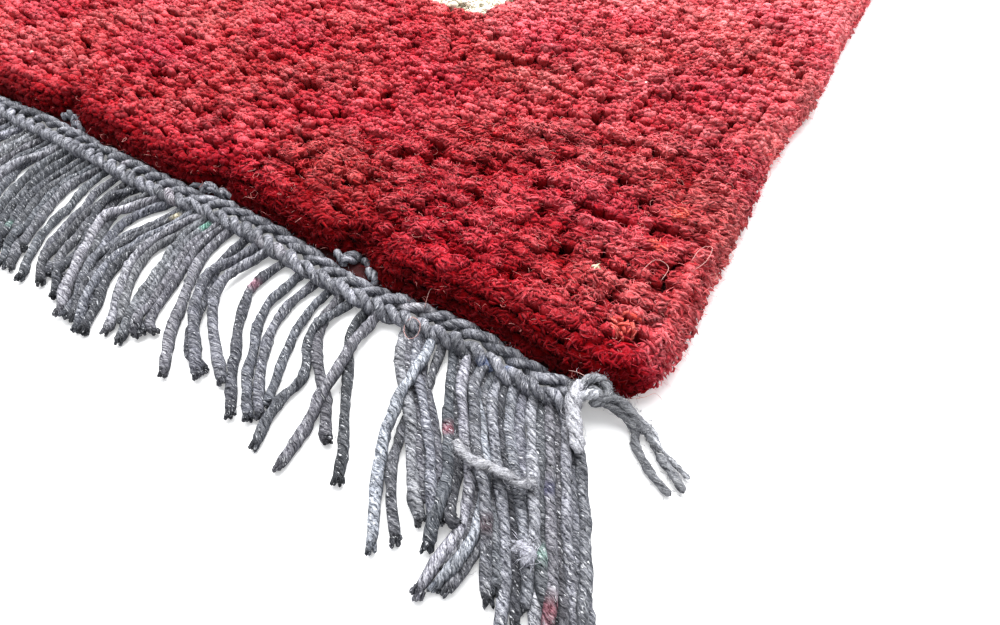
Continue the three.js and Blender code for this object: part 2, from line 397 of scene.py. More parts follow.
@dataclass(frozen=True)
class SpunWool:
    """The finish of spun wool, from what its fibres look like.

    The pattern follows three attributes: grain, a place in the straight yarn in millimetres with its length
    along Z, dye, the yarn's colour with painted shade worked into it in places, and rise, from 0 at its root
    to 1 at its tip, or from its underside to its top, which sets where painted shade falls.
    """

    name: str
    # how bright the darkest and the lightest fibres are
    shade: float
    light: float
    # the power of the dye's hue in the darkest fibres, in the lightest, and what painted shade adds to it at
    # the root and in the creases, because dyed wool is purest where light comes back many times
    pure_dark: float
    pure_light: float
    pure_root: float
    # how dark the painted shade is at the root or the underside, and where along the rise it ends
    root_shade: float
    root_reach: float
    # how much whole stretches of the yarn differ in brightness
    blotch: float
    streak: tuple
    contrast: float
    relief_mm: float
    sheen: float
    sheen_tint: tuple
    rough_low: float = 0.95
    rough_high: float = 0.8
    plies: int = 0
    turns_per_mm: float = 0.0
    # how dark the painted shade is in the creases between the plies
    crease: float = 0.0
    ply_relief_mm: float = 0.0
    fleck_limit: float = 0.8
    fleck_colour: tuple = (0.5, 0.5, 0.5)
    specular: float = 0.1

    def numbers(self) -> dict[str, float]:
        """Gives the value of each number that the node group asks for, by the name of its input."""
        return {
            "Shade": self.shade, "Light": self.light, "Pure dark": self.pure_dark,
            "Pure light": self.pure_light, "Pure root": self.pure_root, "Root shade": self.root_shade,
            "Root reach": self.root_reach, "Blotch": self.blotch, "Contrast": self.contrast,
            "Relief": self.relief_mm * MM, "Plies": self.plies,
            "Turn": self.turns_per_mm * math.tau, "Crease": self.crease,
            "Ply relief": self.ply_relief_mm * MM, "Fleck limit": self.fleck_limit,
        }

    def group(self) -> bpy.types.NodeTree:
        """Gives the node group that all spun wool shares, and makes it the first time."""
        known = bpy.data.node_groups.get("spun_wool")
        if known:
            return known
        tree = bpy.data.node_groups.new("spun_wool", "ShaderNodeTree")
        for name in self.numbers():
            tree.interface.new_socket(name, in_out="INPUT", socket_type="NodeSocketFloat")
        for name, kind in (("Streak", "Vector"), ("Fleck colour", "Color")):
            tree.interface.new_socket(name, in_out="INPUT", socket_type="NodeSocket" + kind)
        for name, kind in (("Colour", "Color"), ("Fibre", "Float"), ("Normal", "Vector")):
            tree.interface.new_socket(name, in_out="OUTPUT", socket_type="NodeSocket" + kind)
        web = Web(tree)
        given = web.add("NodeGroupInput").outputs
        grain = web.add("ShaderNodeAttribute", attribute_name="grain").outputs["Vector"]
        dye = web.add("ShaderNodeAttribute", attribute_name="dye").outputs["Color"]
        rise = web.add("ShaderNodeAttribute", attribute_name="rise").outputs["Fac"]
        length = web.add("ShaderNodeSeparateXYZ", {0: grain}).outputs["Z"]
        wobble = web.math("MULTIPLY_ADD", web.noise(grain, 0.45, 1), 1.4, -0.7)
        turned = web.math("ADD", web.math("MULTIPLY", length, given["Turn"]), wobble)
        laid = web.add("ShaderNodeVectorRotate", {"Vector": grain, "Angle": turned},
                       rotation_type="Z_AXIS").outputs[0]
        part = web.add("ShaderNodeSeparateXYZ", {0: laid}).outputs
        half_phase = web.math("MULTIPLY", web.math("ARCTAN2", part["Y"], part["X"]), given["Plies"])
        crown = web.math("ABSOLUTE", web.math("SINE", web.math("MULTIPLY", half_phase, 0.5)))
        along_fibres = web.scaled(laid, given["Streak"])
        streaks = web.noise(along_fibres, 1.0, 3)
        fuzz = web.noise(laid, 2.6, 2)
        blend = web.math("ADD", web.math("MULTIPLY", streaks, 0.62), web.math("MULTIPLY", fuzz, 0.38))
        low = web.math("SUBTRACT", 0.5, given["Contrast"])
        high = web.math("ADD", 0.5, given["Contrast"])
        fibre = web.ramp(blend, low, high)
        bright = web.ramp(fibre, 0, 1, given["Shade"], given["Light"])
        # painted shade: darker towards the root or the underside, by the rise, and in the creases between the
        # plies
        risen = web.ramp(rise, 0.1, given["Root reach"])
        painted_root_shade = web.ramp(risen, 0, 1, given["Root shade"], 1.0)
        valley = web.math("SUBTRACT", 1.0, given["Crease"])
        rough_crown = web.math("MULTIPLY_ADD", web.math("SUBTRACT", fuzz, 0.5), 1.5, crown)
        painted_crease_shade = web.ramp(rough_crown, 0.02, 0.6, valley, 1.0)
        blotches = web.noise(web.scaled(laid, (0.3, 0.3, 0.22)), 1.0, 2)
        blotched = web.ramp(blotches, 0.3, 0.7, web.math("SUBTRACT", 1.0, given["Blotch"]),
                            web.math("ADD", 1.0, given["Blotch"]))
        hues = web.add("ShaderNodeSeparateXYZ", {0: dye}).outputs
        red_or_green = web.math("MAXIMUM", hues["X"], hues["Y"])
        most = web.math("MAXIMUM", red_or_green, web.math("MAXIMUM", hues["Z"], 0.001))
        hue = web.lengthened(dye, web.math("DIVIDE", 1.0, most))
        # painted shade also makes the hue purer at the root and in the creases
        power = web.math("MULTIPLY_ADD", web.math("SUBTRACT", 1.0, web.math("MULTIPLY", risen, painted_crease_shade)),
                         given["Pure root"], web.ramp(fibre, 0, 1, given["Pure dark"], given["Pure light"]))
        pure = web.add("ShaderNodeGamma", {"Color": hue, "Gamma": power}).outputs[0]
        shaded = web.math("MULTIPLY", most, bright)
        level = web.math("MULTIPLY", shaded, web.math("MULTIPLY", painted_root_shade, painted_crease_shade))
        tinted = web.lengthened(pure, web.math("MULTIPLY", level, blotched))
        fleck_noise = web.noise(web.scaled(along_fibres, (1.3, 1.3, 1.2)), 1.0, 1)
        flecked = web.ramp(fleck_noise, given["Fleck limit"], web.math("ADD", given["Fleck limit"], 0.04))
        colour = web.mixed(flecked, tinted, given["Fleck colour"])
        round_ply = web.math("MULTIPLY", web.math("POWER", crown, 0.6), given["Ply relief"])
        height = web.math("MULTIPLY_ADD", fibre, given["Relief"], round_ply)
        bump = web.add("ShaderNodeBump", {"Strength": 1.0, "Distance": 1.0, "Height": height})
        web.add("NodeGroupOutput", {"Colour": colour, "Fibre": fibre, "Normal": bump.outputs[0]})
        return tree

    def build(self) -> bpy.types.Material:
        """Makes the material."""
        material = bpy.data.materials.new(self.name)
        material.use_nodes = True
        web = Web(material.node_tree)
        wool = web.add("ShaderNodeGroup", {}, node_tree=self.group())
        others = {"Streak": self.streak, "Fleck colour": (*self.fleck_colour, 1)}
        for name, value in (self.numbers() | others).items():
            wool.inputs[name].default_value = value
        rough = web.ramp(wool.outputs["Fibre"], 0, 1, self.rough_low, self.rough_high)
        shader = web.add("ShaderNodeBsdfPrincipled", {
            "Base Color": wool.outputs["Colour"], "Normal": wool.outputs["Normal"], "Roughness": rough,
            "Sheen Weight": self.sheen, "Sheen Roughness": 0.45, "Sheen Tint": (*self.sheen_tint, 1),
            "Specular IOR Level": self.specular,
        })
        web.add("ShaderNodeOutputMaterial", {0: shader.outputs[0]})
        return material


PILE_WOOL = SpunWool(
    "red_pile_wool", shade=0.76, light=1.13, pure_dark=0.9, pure_light=0.4, pure_root=0.62, root_shade=0.2,
    root_reach=0.97, blotch=0.09, streak=(1.4, 1.4, 0.5), contrast=0.16, relief_mm=0.22, sheen=0.12,
    sheen_tint=(1.0, 0.25, 0.28), fleck_limit=0.8, fleck_colour=(0.85, 0.3, 0.3), specular=0.0)
FRINGE_WOOL = SpunWool(
    "grey_fringe_wool", shade=0.24, light=3.0, pure_dark=1.5, pure_light=0.6, pure_root=1.0, root_shade=0.08,
    root_reach=0.95, blotch=0.45, streak=(1.5, 1.5, 0.7), contrast=0.12, relief_mm=0.3, sheen=0.15,
    sheen_tint=(0.85, 0.9, 1.0), plies=4, turns_per_mm=1 / 8.5, crease=0.55, ply_relief_mm=0.4,
    fleck_limit=0.66, fleck_colour=(0.7, 0.71, 0.74), specular=0.08)
EDGE_WOOL = SpunWool(
    "grey_edge_wool", shade=0.26, light=2.4, pure_dark=1.5, pure_light=0.6, pure_root=1.0, root_shade=0.12,
    root_reach=0.85, blotch=0.35, streak=(1.6, 1.6, 0.45), contrast=0.12, relief_mm=0.3, sheen=0.15,
    sheen_tint=(0.85, 0.9, 1.0), plies=2, turns_per_mm=-1 / 8.0, crease=0.5, ply_relief_mm=0.5,
    fleck_limit=0.66, fleck_colour=(0.66, 0.67, 0.7), specular=0.08)
TIE_WOOL = SpunWool(
    "light_tie_wool", shade=0.35, light=1.8, pure_dark=1.3, pure_light=0.7, pure_root=0.8, root_shade=0.35,
    root_reach=0.8, blotch=0.25, streak=(2.2, 2.2, 0.3), contrast=0.13, relief_mm=0.3, sheen=0.2,
    sheen_tint=(0.9, 0.9, 1.0), plies=2, turns_per_mm=1 / 11.0, crease=0.45, ply_relief_mm=0.4,
    fleck_limit=0.68, fleck_colour=(0.8, 0.8, 0.8), specular=0.08)
GROUND_WOOL = SpunWool(
    "woven_ground_wool", shade=0.4, light=1.4, pure_dark=1.0, pure_light=1.0, pure_root=0.0, root_shade=1.0,
    root_reach=0.8, blotch=0.1, streak=(0.9, 0.35, 1.0), contrast=0.16, relief_mm=0.5, sheen=0.1,
    sheen_tint=(1.0, 0.8, 0.8))


@dataclass(frozen=True)
class Ring:
    """One ring of a small shape: how far along it is, and its radius."""

    along: float
    radius: float


@dataclass
class Unit:
    """A small closed shape about a straight line, modelled once and copied along many routes."""

    sides: int
    rings: list[Ring]

    def __post_init__(self) -> None:
        """Models the shape from a ball, whose rings of points become the shape's own rings."""
        deselect_all()
        count = len(self.rings)
        bpy.ops.mesh.primitive_uv_sphere_add(segments=self.sides, ring_count=max(count + 1, 3), radius=1,
                                             calc_uvs=True)
        ball = bpy.context.object
        mesh = ball.data
        if count == 1:
            self.merge_rings(mesh)
        place = np.zeros(len(mesh.vertices) * 3)
        mesh.vertices.foreach_get("co", place)
        place = place.reshape(-1, 3)
        from_top = np.arccos(np.clip(place[:, 2], -1, 1)) / math.pi
        self.number = count + 1 - np.rint(from_top * (count + 1)).astype(int)
        angle = np.arctan2(place[:, 1], place[:, 0])
        self.along = np.array([0.0] + [ring.along for ring in self.rings] + [1.0])
        radius = np.array([0.0] + [ring.radius for ring in self.rings] + [0.0])[self.number]
        self.across = np.stack([np.cos(angle), np.sin(angle)], 1) * radius[:, None]
        self.loops = np.zeros(len(mesh.loops), int)
        mesh.loops.foreach_get("vertex_index", self.loops)
        self.starts = np.zeros(len(mesh.polygons), int)
        mesh.polygons.foreach_get("loop_start", self.starts)
        self.map = np.zeros(len(mesh.loops) * 2)
        mesh.uv_layers[0].data.foreach_get("uv", self.map)
        self.map = np.clip(self.map.reshape(-1, 2), 0, 1)
        bpy.data.objects.remove(ball)
        bpy.data.meshes.remove(mesh)

    @staticmethod
    def merge_rings(mesh: bpy.types.Mesh) -> None:
        """Makes one ring of the two that the plainest ball has."""
        for vertex in mesh.vertices:
            if abs(vertex.co.z) < 0.9:
                vertex.co.z = 0
        bpy.ops.object.mode_set(mode="EDIT")
        bpy.ops.mesh.select_all(action="SELECT")
        bpy.ops.mesh.remove_doubles(threshold=0.01)
        bpy.ops.object.mode_set(mode="OBJECT")

    def triangles(self) -> int:
        """How many triangles one copy has."""
        return 2 * self.sides * len(self.rings)


def add_attributes(mesh: bpy.types.Mesh, grain: np.ndarray, dye: np.ndarray, rise: np.ndarray) -> None:
    """Gives a mesh the three attributes that the finish of spun wool follows.

    Args:
        mesh: The mesh.
        grain: The place of each of its points in the straight yarn.
        dye: The colour of each, painted shade included.
        rise: How far each is from the root, or from its underside, from 0 to 1, which sets its painted shade.
    """
    colour = np.concatenate([dye, np.ones((len(dye), 1))], 1)
    for name, kind, part, values in (
            ("grain", "FLOAT_VECTOR", "vector", grain), ("dye", "FLOAT_COLOR", "color", colour),
            ("rise", "FLOAT", "value", rise)):
        data = mesh.attributes.new(name, kind, "POINT").data
        data.foreach_set(part, values.astype(np.float32).ravel())


def bent(roots: np.ndarray, knees: np.ndarray, tips: np.ndarray, along: np.ndarray) -> np.ndarray:
    """Gives routes that leave each root towards its knee and end at its tip.

    Args:
        roots: Where the routes start.
        knees: The points that they bend towards.
        tips: Where they end.
        along: The shares of the way, from 0 to 1, at which points are wanted.

    Returns:
        The points, by route, share and axis.
    """
    t = along[None, :, None]
    first, middle, last = roots[:, None], knees[:, None], tips[:, None]
    return (1 - t) ** 2 * first + 2 * t * (1 - t) * middle + t**2 * last


def threaded(points: np.ndarray, along: np.ndarray) -> np.ndarray:
    """Gives routes that run smoothly through their own points.

    Args:
        points: The points, by route, number and axis.
        along: The shares of the way at which points of the route are wanted.

    Returns:
        The points of the routes, by route, share and axis.
    """
    count = points.shape[1]
    lead_in, lead_out = 2 * points[:, :1] - points[:, 1:2], 2 * points[:, -1:] - points[:, -2:-1]
    padded = np.concatenate([lead_in, points, lead_out], 1)
    place = along * (count - 1)
    index = np.clip(place.astype(int), 0, count - 2)
    t = (place - index)[None, :, None]
    before, start, stop, after = (padded[:, index + step] for step in range(4))
    cubic = after - before + 3 * (start - stop)
    square = 2 * before - 5 * start + 4 * stop - after
    return 0.5 * (cubic * t**3 + square * t**2 + (stop - before) * t + 2 * start)


class JoinedCopies:
    """Many bent copies of small shapes, joined into one mesh from arrays."""

    def __init__(self, name: str) -> None:
        """Starts with nothing in it."""
        self.name = name
        self.batches: list[dict] = []

    def add(self, unit: Unit, routes: np.ndarray, dye: np.ndarray, rng: np.random.Generator,
            width: object = 1.0, depth: object = 1.0, turn: object = 0.0, unevenness: float = 0.0,
            side: tuple = (1, 0, 0), swell: float = 0.0, lit: Lit = Lit.TO_THE_TIP) -> None:
        """Adds one copy of a unit along each route.

        Args:
            unit: The shape that is copied.
            routes: The routes at the unit's own shares of the way, by copy, share and axis.
            dye: The colour of each copy, or of each of its shares of the way.
            rng: Where the uneven moves come from.
            width: What the shape's width is multiplied by, one value or one for each copy.
            depth: The same for its depth.
            turn: The angle by which each copy's section is turned.
            unevenness: How far a point may stand out or in, as a share of the radius.
            side: The direction that the shape's width follows.
            swell: How much a copy grows thicker and thinner along its way, as a share of the radius.
            lit: Which way its painted shade gives way to light.
        """
        if not len(routes):
            return
        count, points = len(routes), len(unit.number)
        ahead = normalised(np.gradient(routes, axis=1))
        across = np.zeros_like(routes)
        held = np.broadcast_to(np.array(side, float), ahead[:, 0].shape)
        for step in range(routes.shape[1]):
            held = normalised(held - (held * ahead[:, step]).sum(1, keepdims=True) * ahead[:, step])
            across[:, step] = held
        raised = np.cross(ahead, across)
        spread = np.ones((count, points)) + unevenness * rng.standard_normal((count, points))
        if swell:
            waves, phase = rng.uniform(2.5, 6.0, (count, 1)), rng.uniform(0, math.tau, (count, 1))
            spread *= 1 + swell * np.sin(math.tau * waves * unit.along[unit.number] + phase)
        wide = np.broadcast_to(np.asarray(width, float), (count,))[:, None]
        deep = np.broadcast_to(np.asarray(depth, float), (count,))[:, None]
        a, b = unit.across[None, :, 0] * spread * wide, unit.across[None, :, 1] * spread * deep
        straight_a, straight_b = a, b
        angle = np.broadcast_to(np.asarray(turn, float), (count,))[:, None]
        a, b = a * np.cos(angle) - b * np.sin(angle), a * np.sin(angle) + b * np.cos(angle)
        offset = across[:, unit.number] * a[..., None] + raised[:, unit.number] * b[..., None]
        place = routes[:, unit.number] + offset
        place[..., 2] = np.maximum(place[..., 2], 0.0)
        steps = np.linalg.norm(np.diff(routes, axis=1), axis=2)
        travelled = np.concatenate([np.zeros((count, 1)), np.cumsum(steps, 1)], 1)[:, unit.number]
        shift = rng.uniform(-400, 400, (count, 1))
        grain = np.stack([straight_a, straight_b, travelled + shift], 2)
        if dye.ndim == 2:
            dye = dye[:, None]
        colour = np.broadcast_to(dye if dye.shape[1] == 1 else dye[:, unit.number], (count, points, 3))
        # the rise sets the painted shade: darker at the root, darker underneath, or none
        rise = np.broadcast_to(unit.along[unit.number], (count, points))
        if lit is Lit.UPWARDS:
            rise = 0.5 + 0.5 * offset[..., 2] / np.maximum(np.linalg.norm(offset, axis=2), 0.001)
        elif lit is Lit.EVENLY:
            rise = np.ones((count, points))
        self.batches.append({"unit": unit, "count": count, "place": place, "grain": grain, "dye": colour,
                             "rise": rise})

    def add_hairs(self, routes: np.ndarray, reach: float, each: int, dye: np.ndarray,
                  rng: np.random.Generator) -> None:
        """Adds short stray fibres that stand off lengths of yarn.

        Args:
            routes: The routes of the yarns, by yarn, number and axis.
            reach: The radius of the yarns.
            each: How many fibres each yarn has.
            dye: The colour of each yarn.
            rng: Where the unevenness comes from.
        """
        hair = Unit(3, [Ring(0.5, 0.065)])
        yarn = np.repeat(np.arange(len(routes)), each)
        at = rng.integers(1, routes.shape[1] - 1, len(yarn))
        base = routes[yarn, at]
        ahead = normalised(routes[yarn, at + 1] - routes[yarn, at - 1])
        out = rng.normal(0, 1, base.shape) + UP * 0.5
        out = normalised(out - ahead * (out * ahead).sum(1, keepdims=True))
        start = base + out * reach * 0.85
        stand = reach + rng.uniform(0.2, 1.5, (len(yarn), 1))
        end = base + out * stand + ahead * rng.normal(0, 1.6, (len(yarn), 1))
        end[:, 2] = np.maximum(end[:, 2], 0.3)
        knee = (start + end) / 2 + out * 0.5 + rng.normal(0, 0.4, base.shape)
        knee[:, 2] = np.maximum(knee[:, 2], 0.3)
        shade = dye[yarn] * rng.uniform(1.0, 2.6, (len(yarn), 1))
        self.add(hair, bent(start, knee, end, hair.along), shade, rng, lit=Lit.EVENLY)

    def triangles(self) -> int:
        """How many triangles there are so far."""
        return sum(batch["unit"].triangles() * batch["count"] for batch in self.batches)

    def joined(self, name: str) -> np.ndarray:
        """Joins what every batch holds under a name, one row for each point."""
        return np.concatenate([batch[name].reshape(batch["count"] * len(batch["unit"].number), -1)
                               for batch in self.batches])

    def build(self, material: bpy.types.Material, slot: str) -> bpy.types.Object:
        """Joins the copies into one object with a material.

        Args:
            material: The finish.
            slot: The record's slot that it belongs to. It is not used.

        Returns:
            The object, which rides on the rug.
        """
        loops, starts, maps, vertex_count, loop_count, cell = [], [], [], 0, 0, 0
        cells = sum(batch["count"] for batch in self.batches)
        columns = math.ceil(math.sqrt(cells))
        rows = math.ceil(cells / columns)
        for batch in self.batches:
            unit, count = batch["unit"], batch["count"]
            copy = np.arange(count)[:, None]
            loops.append((unit.loops[None] + copy * len(unit.number) + vertex_count).ravel())
            starts.append((unit.starts[None] + copy * len(unit.loops) + loop_count).ravel())
            corner = np.stack([(cell + copy) % columns, (cell + copy) // columns], 2)
            inset = corner + MAP_GAP + (1 - 2 * MAP_GAP) * unit.map[None]
            maps.append((inset / np.array([columns, rows])).reshape(-1, 2))
            vertex_count += count * len(unit.number)
            loop_count += count * len(unit.loops)
            cell += count
        mesh = bpy.data.meshes.new(self.name)
        mesh.vertices.add(vertex_count)
        mesh.vertices.foreach_set("co", (self.joined("place") * MM).astype(np.float32).ravel())
        mesh.loops.add(loop_count)
        mesh.loops.foreach_set("vertex_index", np.concatenate(loops).astype(np.int32))
        all_starts = np.concatenate(starts)
        mesh.polygons.add(len(all_starts))
        mesh.polygons.foreach_set("loop_start", all_starts.astype(np.int32))
        mesh.update(calc_edges=True)
        mesh.polygons.foreach_set("use_smooth", np.ones(len(all_starts), bool))
        bake_map = mesh.uv_layers.new(name="OFBake")
        bake_map.data.foreach_set("uv", np.concatenate(maps).astype(np.float32).ravel())
        add_attributes(mesh, self.joined("grain"), self.joined("dye"), self.joined("rise"))
        mesh.materials.append(material)
        piece = bpy.data.objects.new(self.name, mesh)
        bpy.context.scene.collection.objects.link(piece)
        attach(piece, "root")
        log.info("%s: %d copies, %d triangles", self.name, cells, self.triangles())
        return piece


RED = np.array([0.7, 0.084, 0.092])
# the ground's own red, painted much darker as shade because it lies deep under the pile
SHADED_GROUND_RED = np.array([0.12, 0.004, 0.007])
CREAM = np.array([0.98, 0.92, 0.72])
GREY = np.array([0.195, 0.197, 0.22])


def painted_deep_shade(dye: np.ndarray, share: np.ndarray) -> np.ndarray:
    """Paints shade into dyes: darker and purer, as wool looks where it lies deep between the tufts, out of the
    light.

    Args:
        dye: The dyes, with their channels along the last axis.
        share: How much painted shade each gets, from 0 to 1.

    Returns:
        The shaded dyes.
    """
    most = dye.max(-1, keepdims=True)
    depth = share[..., None]
    return most * (dye / most) ** (1 + np.array([0.8, 0.8, 0.7]) * depth) * (1 - 0.45 * depth)


@dataclass
class CreamLine:
    """The plain cream line, one rectangle round the field, which is knotted in another colour."""

    half_width: float = 145.0
    half_length: float = 278.0
    line_width: float = 24.0

    def covers(self, x: np.ndarray, y: np.ndarray) -> np.ndarray:
        """Tells which knots are cream."""
        inside = (np.abs(x) < self.half_width) & (np.abs(y) < self.half_length)
        hole = ((np.abs(x) < self.half_width - self.line_width)
                & (np.abs(y) < self.half_length - self.line_width))
        return inside & ~hole


@dataclass
class WovenGround:
    """The woven ground that the pile is knotted on, one flat slab with the rug's wavy outline."""

    shape: RugShape
    cream: CreamLine
    columns: int = 60
    rows: int = 50
    side_inset: float = 2.5
    name: str = "woven_ground"

    def build(self, material: bpy.types.Material) -> bpy.types.Object:
        """Makes the slab from a grid that is given its outline and then its thickness."""
        shape = self.shape
        deselect_all()
        bpy.ops.mesh.primitive_grid_add(x_subdivisions=self.columns, y_subdivisions=self.rows, size=1)
        piece = bpy.context.object
        piece.name = piece.data.name = self.name
        mesh = piece.data
        place = np.zeros(len(mesh.vertices) * 3)
        mesh.vertices.foreach_get("co", place)
        x, y = place[0::3] * (shape.width - 2 * self.side_inset), place[1::3] * shape.length
        gap, out_x, out_y = shape.rim_gap(x, y)
        back = shape.set_back(x, y, out_y)
        outside = np.minimum(gap + back - self.side_inset * np.abs(out_x), 0)
        x, y = x + out_x * outside, y + out_y * outside
        moved_x, moved_y = shape.placed(x, y)
        mesh.vertices.foreach_set("co", np.stack([moved_x, moved_y, np.zeros_like(x)], 1).ravel() * MM)
        # painted shade: the ground's red and cream are both dark, as they lie under the pile
        dye = np.where(self.cream.covers(x, y)[:, None], CREAM * 0.5, SHADED_GROUND_RED)
        add_attributes(mesh, np.stack([x, y, np.zeros_like(x)], 1), dye, np.ones(len(x)))
        thick = piece.modifiers.new("thickness", "SOLIDIFY")
        thick.thickness, thick.offset = shape.ground * MM, 1.0
        bpy.ops.object.modifier_apply(modifier=thick.name)
        lowest = min(vertex.co.z for vertex in mesh.vertices)
        mesh.transform(Matrix.Translation((0, 0, -lowest)))
        mesh.materials.append(material)
        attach(piece, "root")
        log.info("%s: %d faces", self.name, len(mesh.polygons))
        return piece


@dataclass(frozen=True)
class TuftKind:
    """How closely the tufts of one zone are made: a core, and wisps of wool that lie over its head.

    Depth is how much painted shade the cores get, as they lie deep between the tufts and under the wisps, and
    shag how far the wisps stand off the head.
    """

    depth: float
    core_sides: int
    core_rings: tuple
    wisps: int = 0
    wisp_sides: int = 3
    wisp_rings: tuple = ()
    shag: float = 0.0


@dataclass(frozen=True)
class RimRound:
    """The rounded profile of the pile's rim: where its middle lies, and how far it reaches from there."""

    inset: float
    height: float
    reach: float
    rise: float

    def point(self, angle: float) -> np.ndarray:
        """Gives how far inside the outline, and how high, the profile lies at an angle above the level."""
        out, up = self.reach * math.cos(angle), self.rise * math.sin(angle)
        return np.array([self.inset - out, self.height + up])


@dataclass
class KnottedPile:
    """The cut pile, one tuft for each knot, fine where the camera is near and plain elsewhere."""

    shape: RugShape
    cream: CreamLine
    camera: CameraPlace
    columns: int = 154
    rows: int = 220
    frame_margin: float = 10.0
    root_height: float = 1.6
    clump_size: tuple = (8.4, 5.6)
    clump_pull: float = 0.2
    # small pits, where the tufts around a place lean apart: how far apart they are, how wide and how deep
    # they open, and how far they push the tips
    pit_size: tuple = (12.0, 10.0)
    pit_reach: float = 2.9
    pit_depth: float = 3.0
    pit_push: float = 1.3
    head_radius: float = 2.4
    head_flatness: float = 0.7
    # how far in from the outline the tufts are still those of the rim, and no tip lies lower than this
    rim_width: float = 14.0
    lowest_tip: float = 1.4
    # how far a row is shifted along the field, and how far the rows sink where they lie deep
    row_shift: float = 1.1
    row_sink: float = 1.1
    # the share of tufts of darker wool, and how bright they are
    dark_share: float = 0.04
    darkness: float = 0.75
    # loose fibres lie on every tuft within this of the outline, and on this share of the others of the front
    hairy_rim: float = 5.0
    hairy_share: float = 0.15
    fibres_a_tuft: int = 8
    # the zones from the camera outwards: how far each reaches
    zone_reach: tuple = ((Zone.CORNER, 240.0), (Zone.FRONT, 335.0), (Zone.TOP, 2000.0))
    side_round: RimRound = RimRound(8.2, 5.2, 7.2, 8.4)
    end_round: RimRound = RimRound(9.0, 5.4, 8.4, 8.0)
    rim_angles: tuple = (-22, 8, 38, 68)
    rim_spacing: float = 3.7
    field_inset: float = 7.0
    # how far a parting bends to and fro, the length in which it closes, and how far it reaches sideways
    parting_bend: float = 1.6
    parting_fade: float = 8.0
    parting_reach: float = 3.2
    # a parting between two rows: its y, from x, to x, how wide it opens, how deep it sinks
    partings: tuple = (
        (-384, 183, 308, 3.2, 4.4), (-310, 153, 246, 3.4, 4.6), (-327.5, 68, 121, 3.0, 4.0),
        (-400, -62, 64, 2.2, 2.8), (-254, 208, 237, 3.2, 4.4), (-349, 238, 300, 2.8, 3.8),
        (-342, 172, 184, 3.2, 4.2), (-411, 176, 190, 3.0, 3.6), (-237, 230, 252, 2.6, 3.0),
        (-236, 280, 306, 2.2, 2.6), (-365, 200, 262, 1.6, 1.8), (-405, 232, 308, 1.8, 2.0),
        (-290, 60, 150, 1.6, 1.8), (-372, 20, 110, 1.6, 1.8), (-270, 175, 290, 1.6, 1.8),
        (-352, 110, 190, 1.5, 1.6), (-424, 150, 215, 1.7, 1.8), (-388, 90, 150, 1.5, 1.6),
        (-330, 200, 285, 1.5, 1.6),
    )
    # a fleck of stray wool: its x and y, how far it reaches and its colour
    flecks: tuple = ((272.7, -411.7, 1.15, (240, 224, 176)), (-7, -418.7, 2.2, (238, 176, 166)),
                     (240, -303, 1.4, (236, 170, 160)), (288.2, -426.1, 3.8, (228, 62, 52)),
                     (282.7, -391.7, 3.4, (222, 60, 50)), (283.2, -374.5, 3.6, (226, 64, 50)))
    # a long stray hair: the points that it follows
    stray_hairs: tuple = (
        ((226.9, -303.3, 14.8), (234.8, -307.6, 15.6), (239.3, -300.8, 14.6)),
        ((243.3, -369.8, 14.6), (247.8, -372.6, 15.6), (249.0, -369.7, 14.6)),
        ((294.4, -395.4, 13.8), (295.0, -388.9, 15.0), (297.7, -386.2, 14.8), (298.3, -393.0, 15.0),
         (296.0, -398.3, 13.6)),
        ((283.8, -407.0, 14.4), (285.8, -400.8, 15.4), (290.2, -401.9, 15.4), (290.2, -407.7, 14.4)),
        ((281.0, -443.9, 7.7), (283.8, -444.2, 9.2), (287.0, -444.4, 9.4)),
        ((297.2, -442.4, 2.5), (297.6, -440.6, 3.4), (300.7, -438.3, 3.8), (302.7, -435.2, 3.2),
         (306.0, -435.5, 1.2)),
        ((234.9, -445.5, 6.0), (233.9, -440.5, 9.4), (237.1, -439.4, 9.2)),
        ((233.5, -452.4, 5.6), (234.3, -450.2, 6.6), (237.6, -450.8, 6.6), (239.1, -454.1, 5.6),
         (237.5, -456.1, 5.0), (234.7, -454.8, 5.0), (233.4, -452.6, 5.4)),
    )
    kinds: dict = field(default_factory=lambda: {
        Zone.CORNER: TuftKind(0.45, 7, (Ring(0.4, 1.75), Ring(0.76, 2.2), Ring(0.9, 1.95), Ring(0.975, 1.1)),
                              12, 3, (Ring(0.28, 0.44), Ring(0.7, 0.46)), 0.55),
        Zone.FRONT: TuftKind(0.14, 6, (Ring(0.42, 1.8), Ring(0.78, 2.25), Ring(0.93, 1.8)), 5, 4,
                             (Ring(0.5, 0.85),), 0.25),
        Zone.TOP: TuftKind(0.0, 6, (Ring(0.45, 2.0), Ring(0.86, 2.45), Ring(0.97, 1.75)), 4, 3,
                           (Ring(0.5, 1.1),), 0.1),
        Zone.BACK: TuftKind(0.2, 4, (Ring(0.84, 3.5),)),
    })

    def build(self, material: bpy.types.Material) -> list[bpy.types.Object]:
        """Makes all the pieces of the pile."""
        rng = np.random.default_rng(11)
        tufts = self.tufts(rng)
        zones = self.zones(tufts["root"])
        pieces = []
        cell = np.floor(tufts["at"] * (self.columns / self.shape.width, self.rows / self.shape.length))
        spare = cell.sum(1) % 2 > 0
        for zone in Zone:
            inside = (zones == zone.value) & ~(spare & (zone is Zone.BACK))
            middle = np.median(tufts["root"][inside, 0])
            for side, beyond in (("left", False), ("right", True)):
                chosen = inside & ((tufts["root"][:, 0] > middle) == beyond)
                copies = JoinedCopies(f"knotted_pile_{zone.value}_{side}")
                self.lay(copies, self.kinds[zone], {key: value[chosen] for key, value in tufts.items()}, rng)
                pieces.append(copies.build(material, "red_wool"))
        chance = np.where(tufts["gap"] < self.hairy_rim, 1.0, self.hairy_share)
        hairy_front = (zones == Zone.FRONT.value) & (rng.random(len(zones)) < chance)
        near = (zones == Zone.CORNER.value) | hairy_front
        pieces.append(self.fibres({key: value[near] for key, value in tufts.items()}, material))
        return pieces

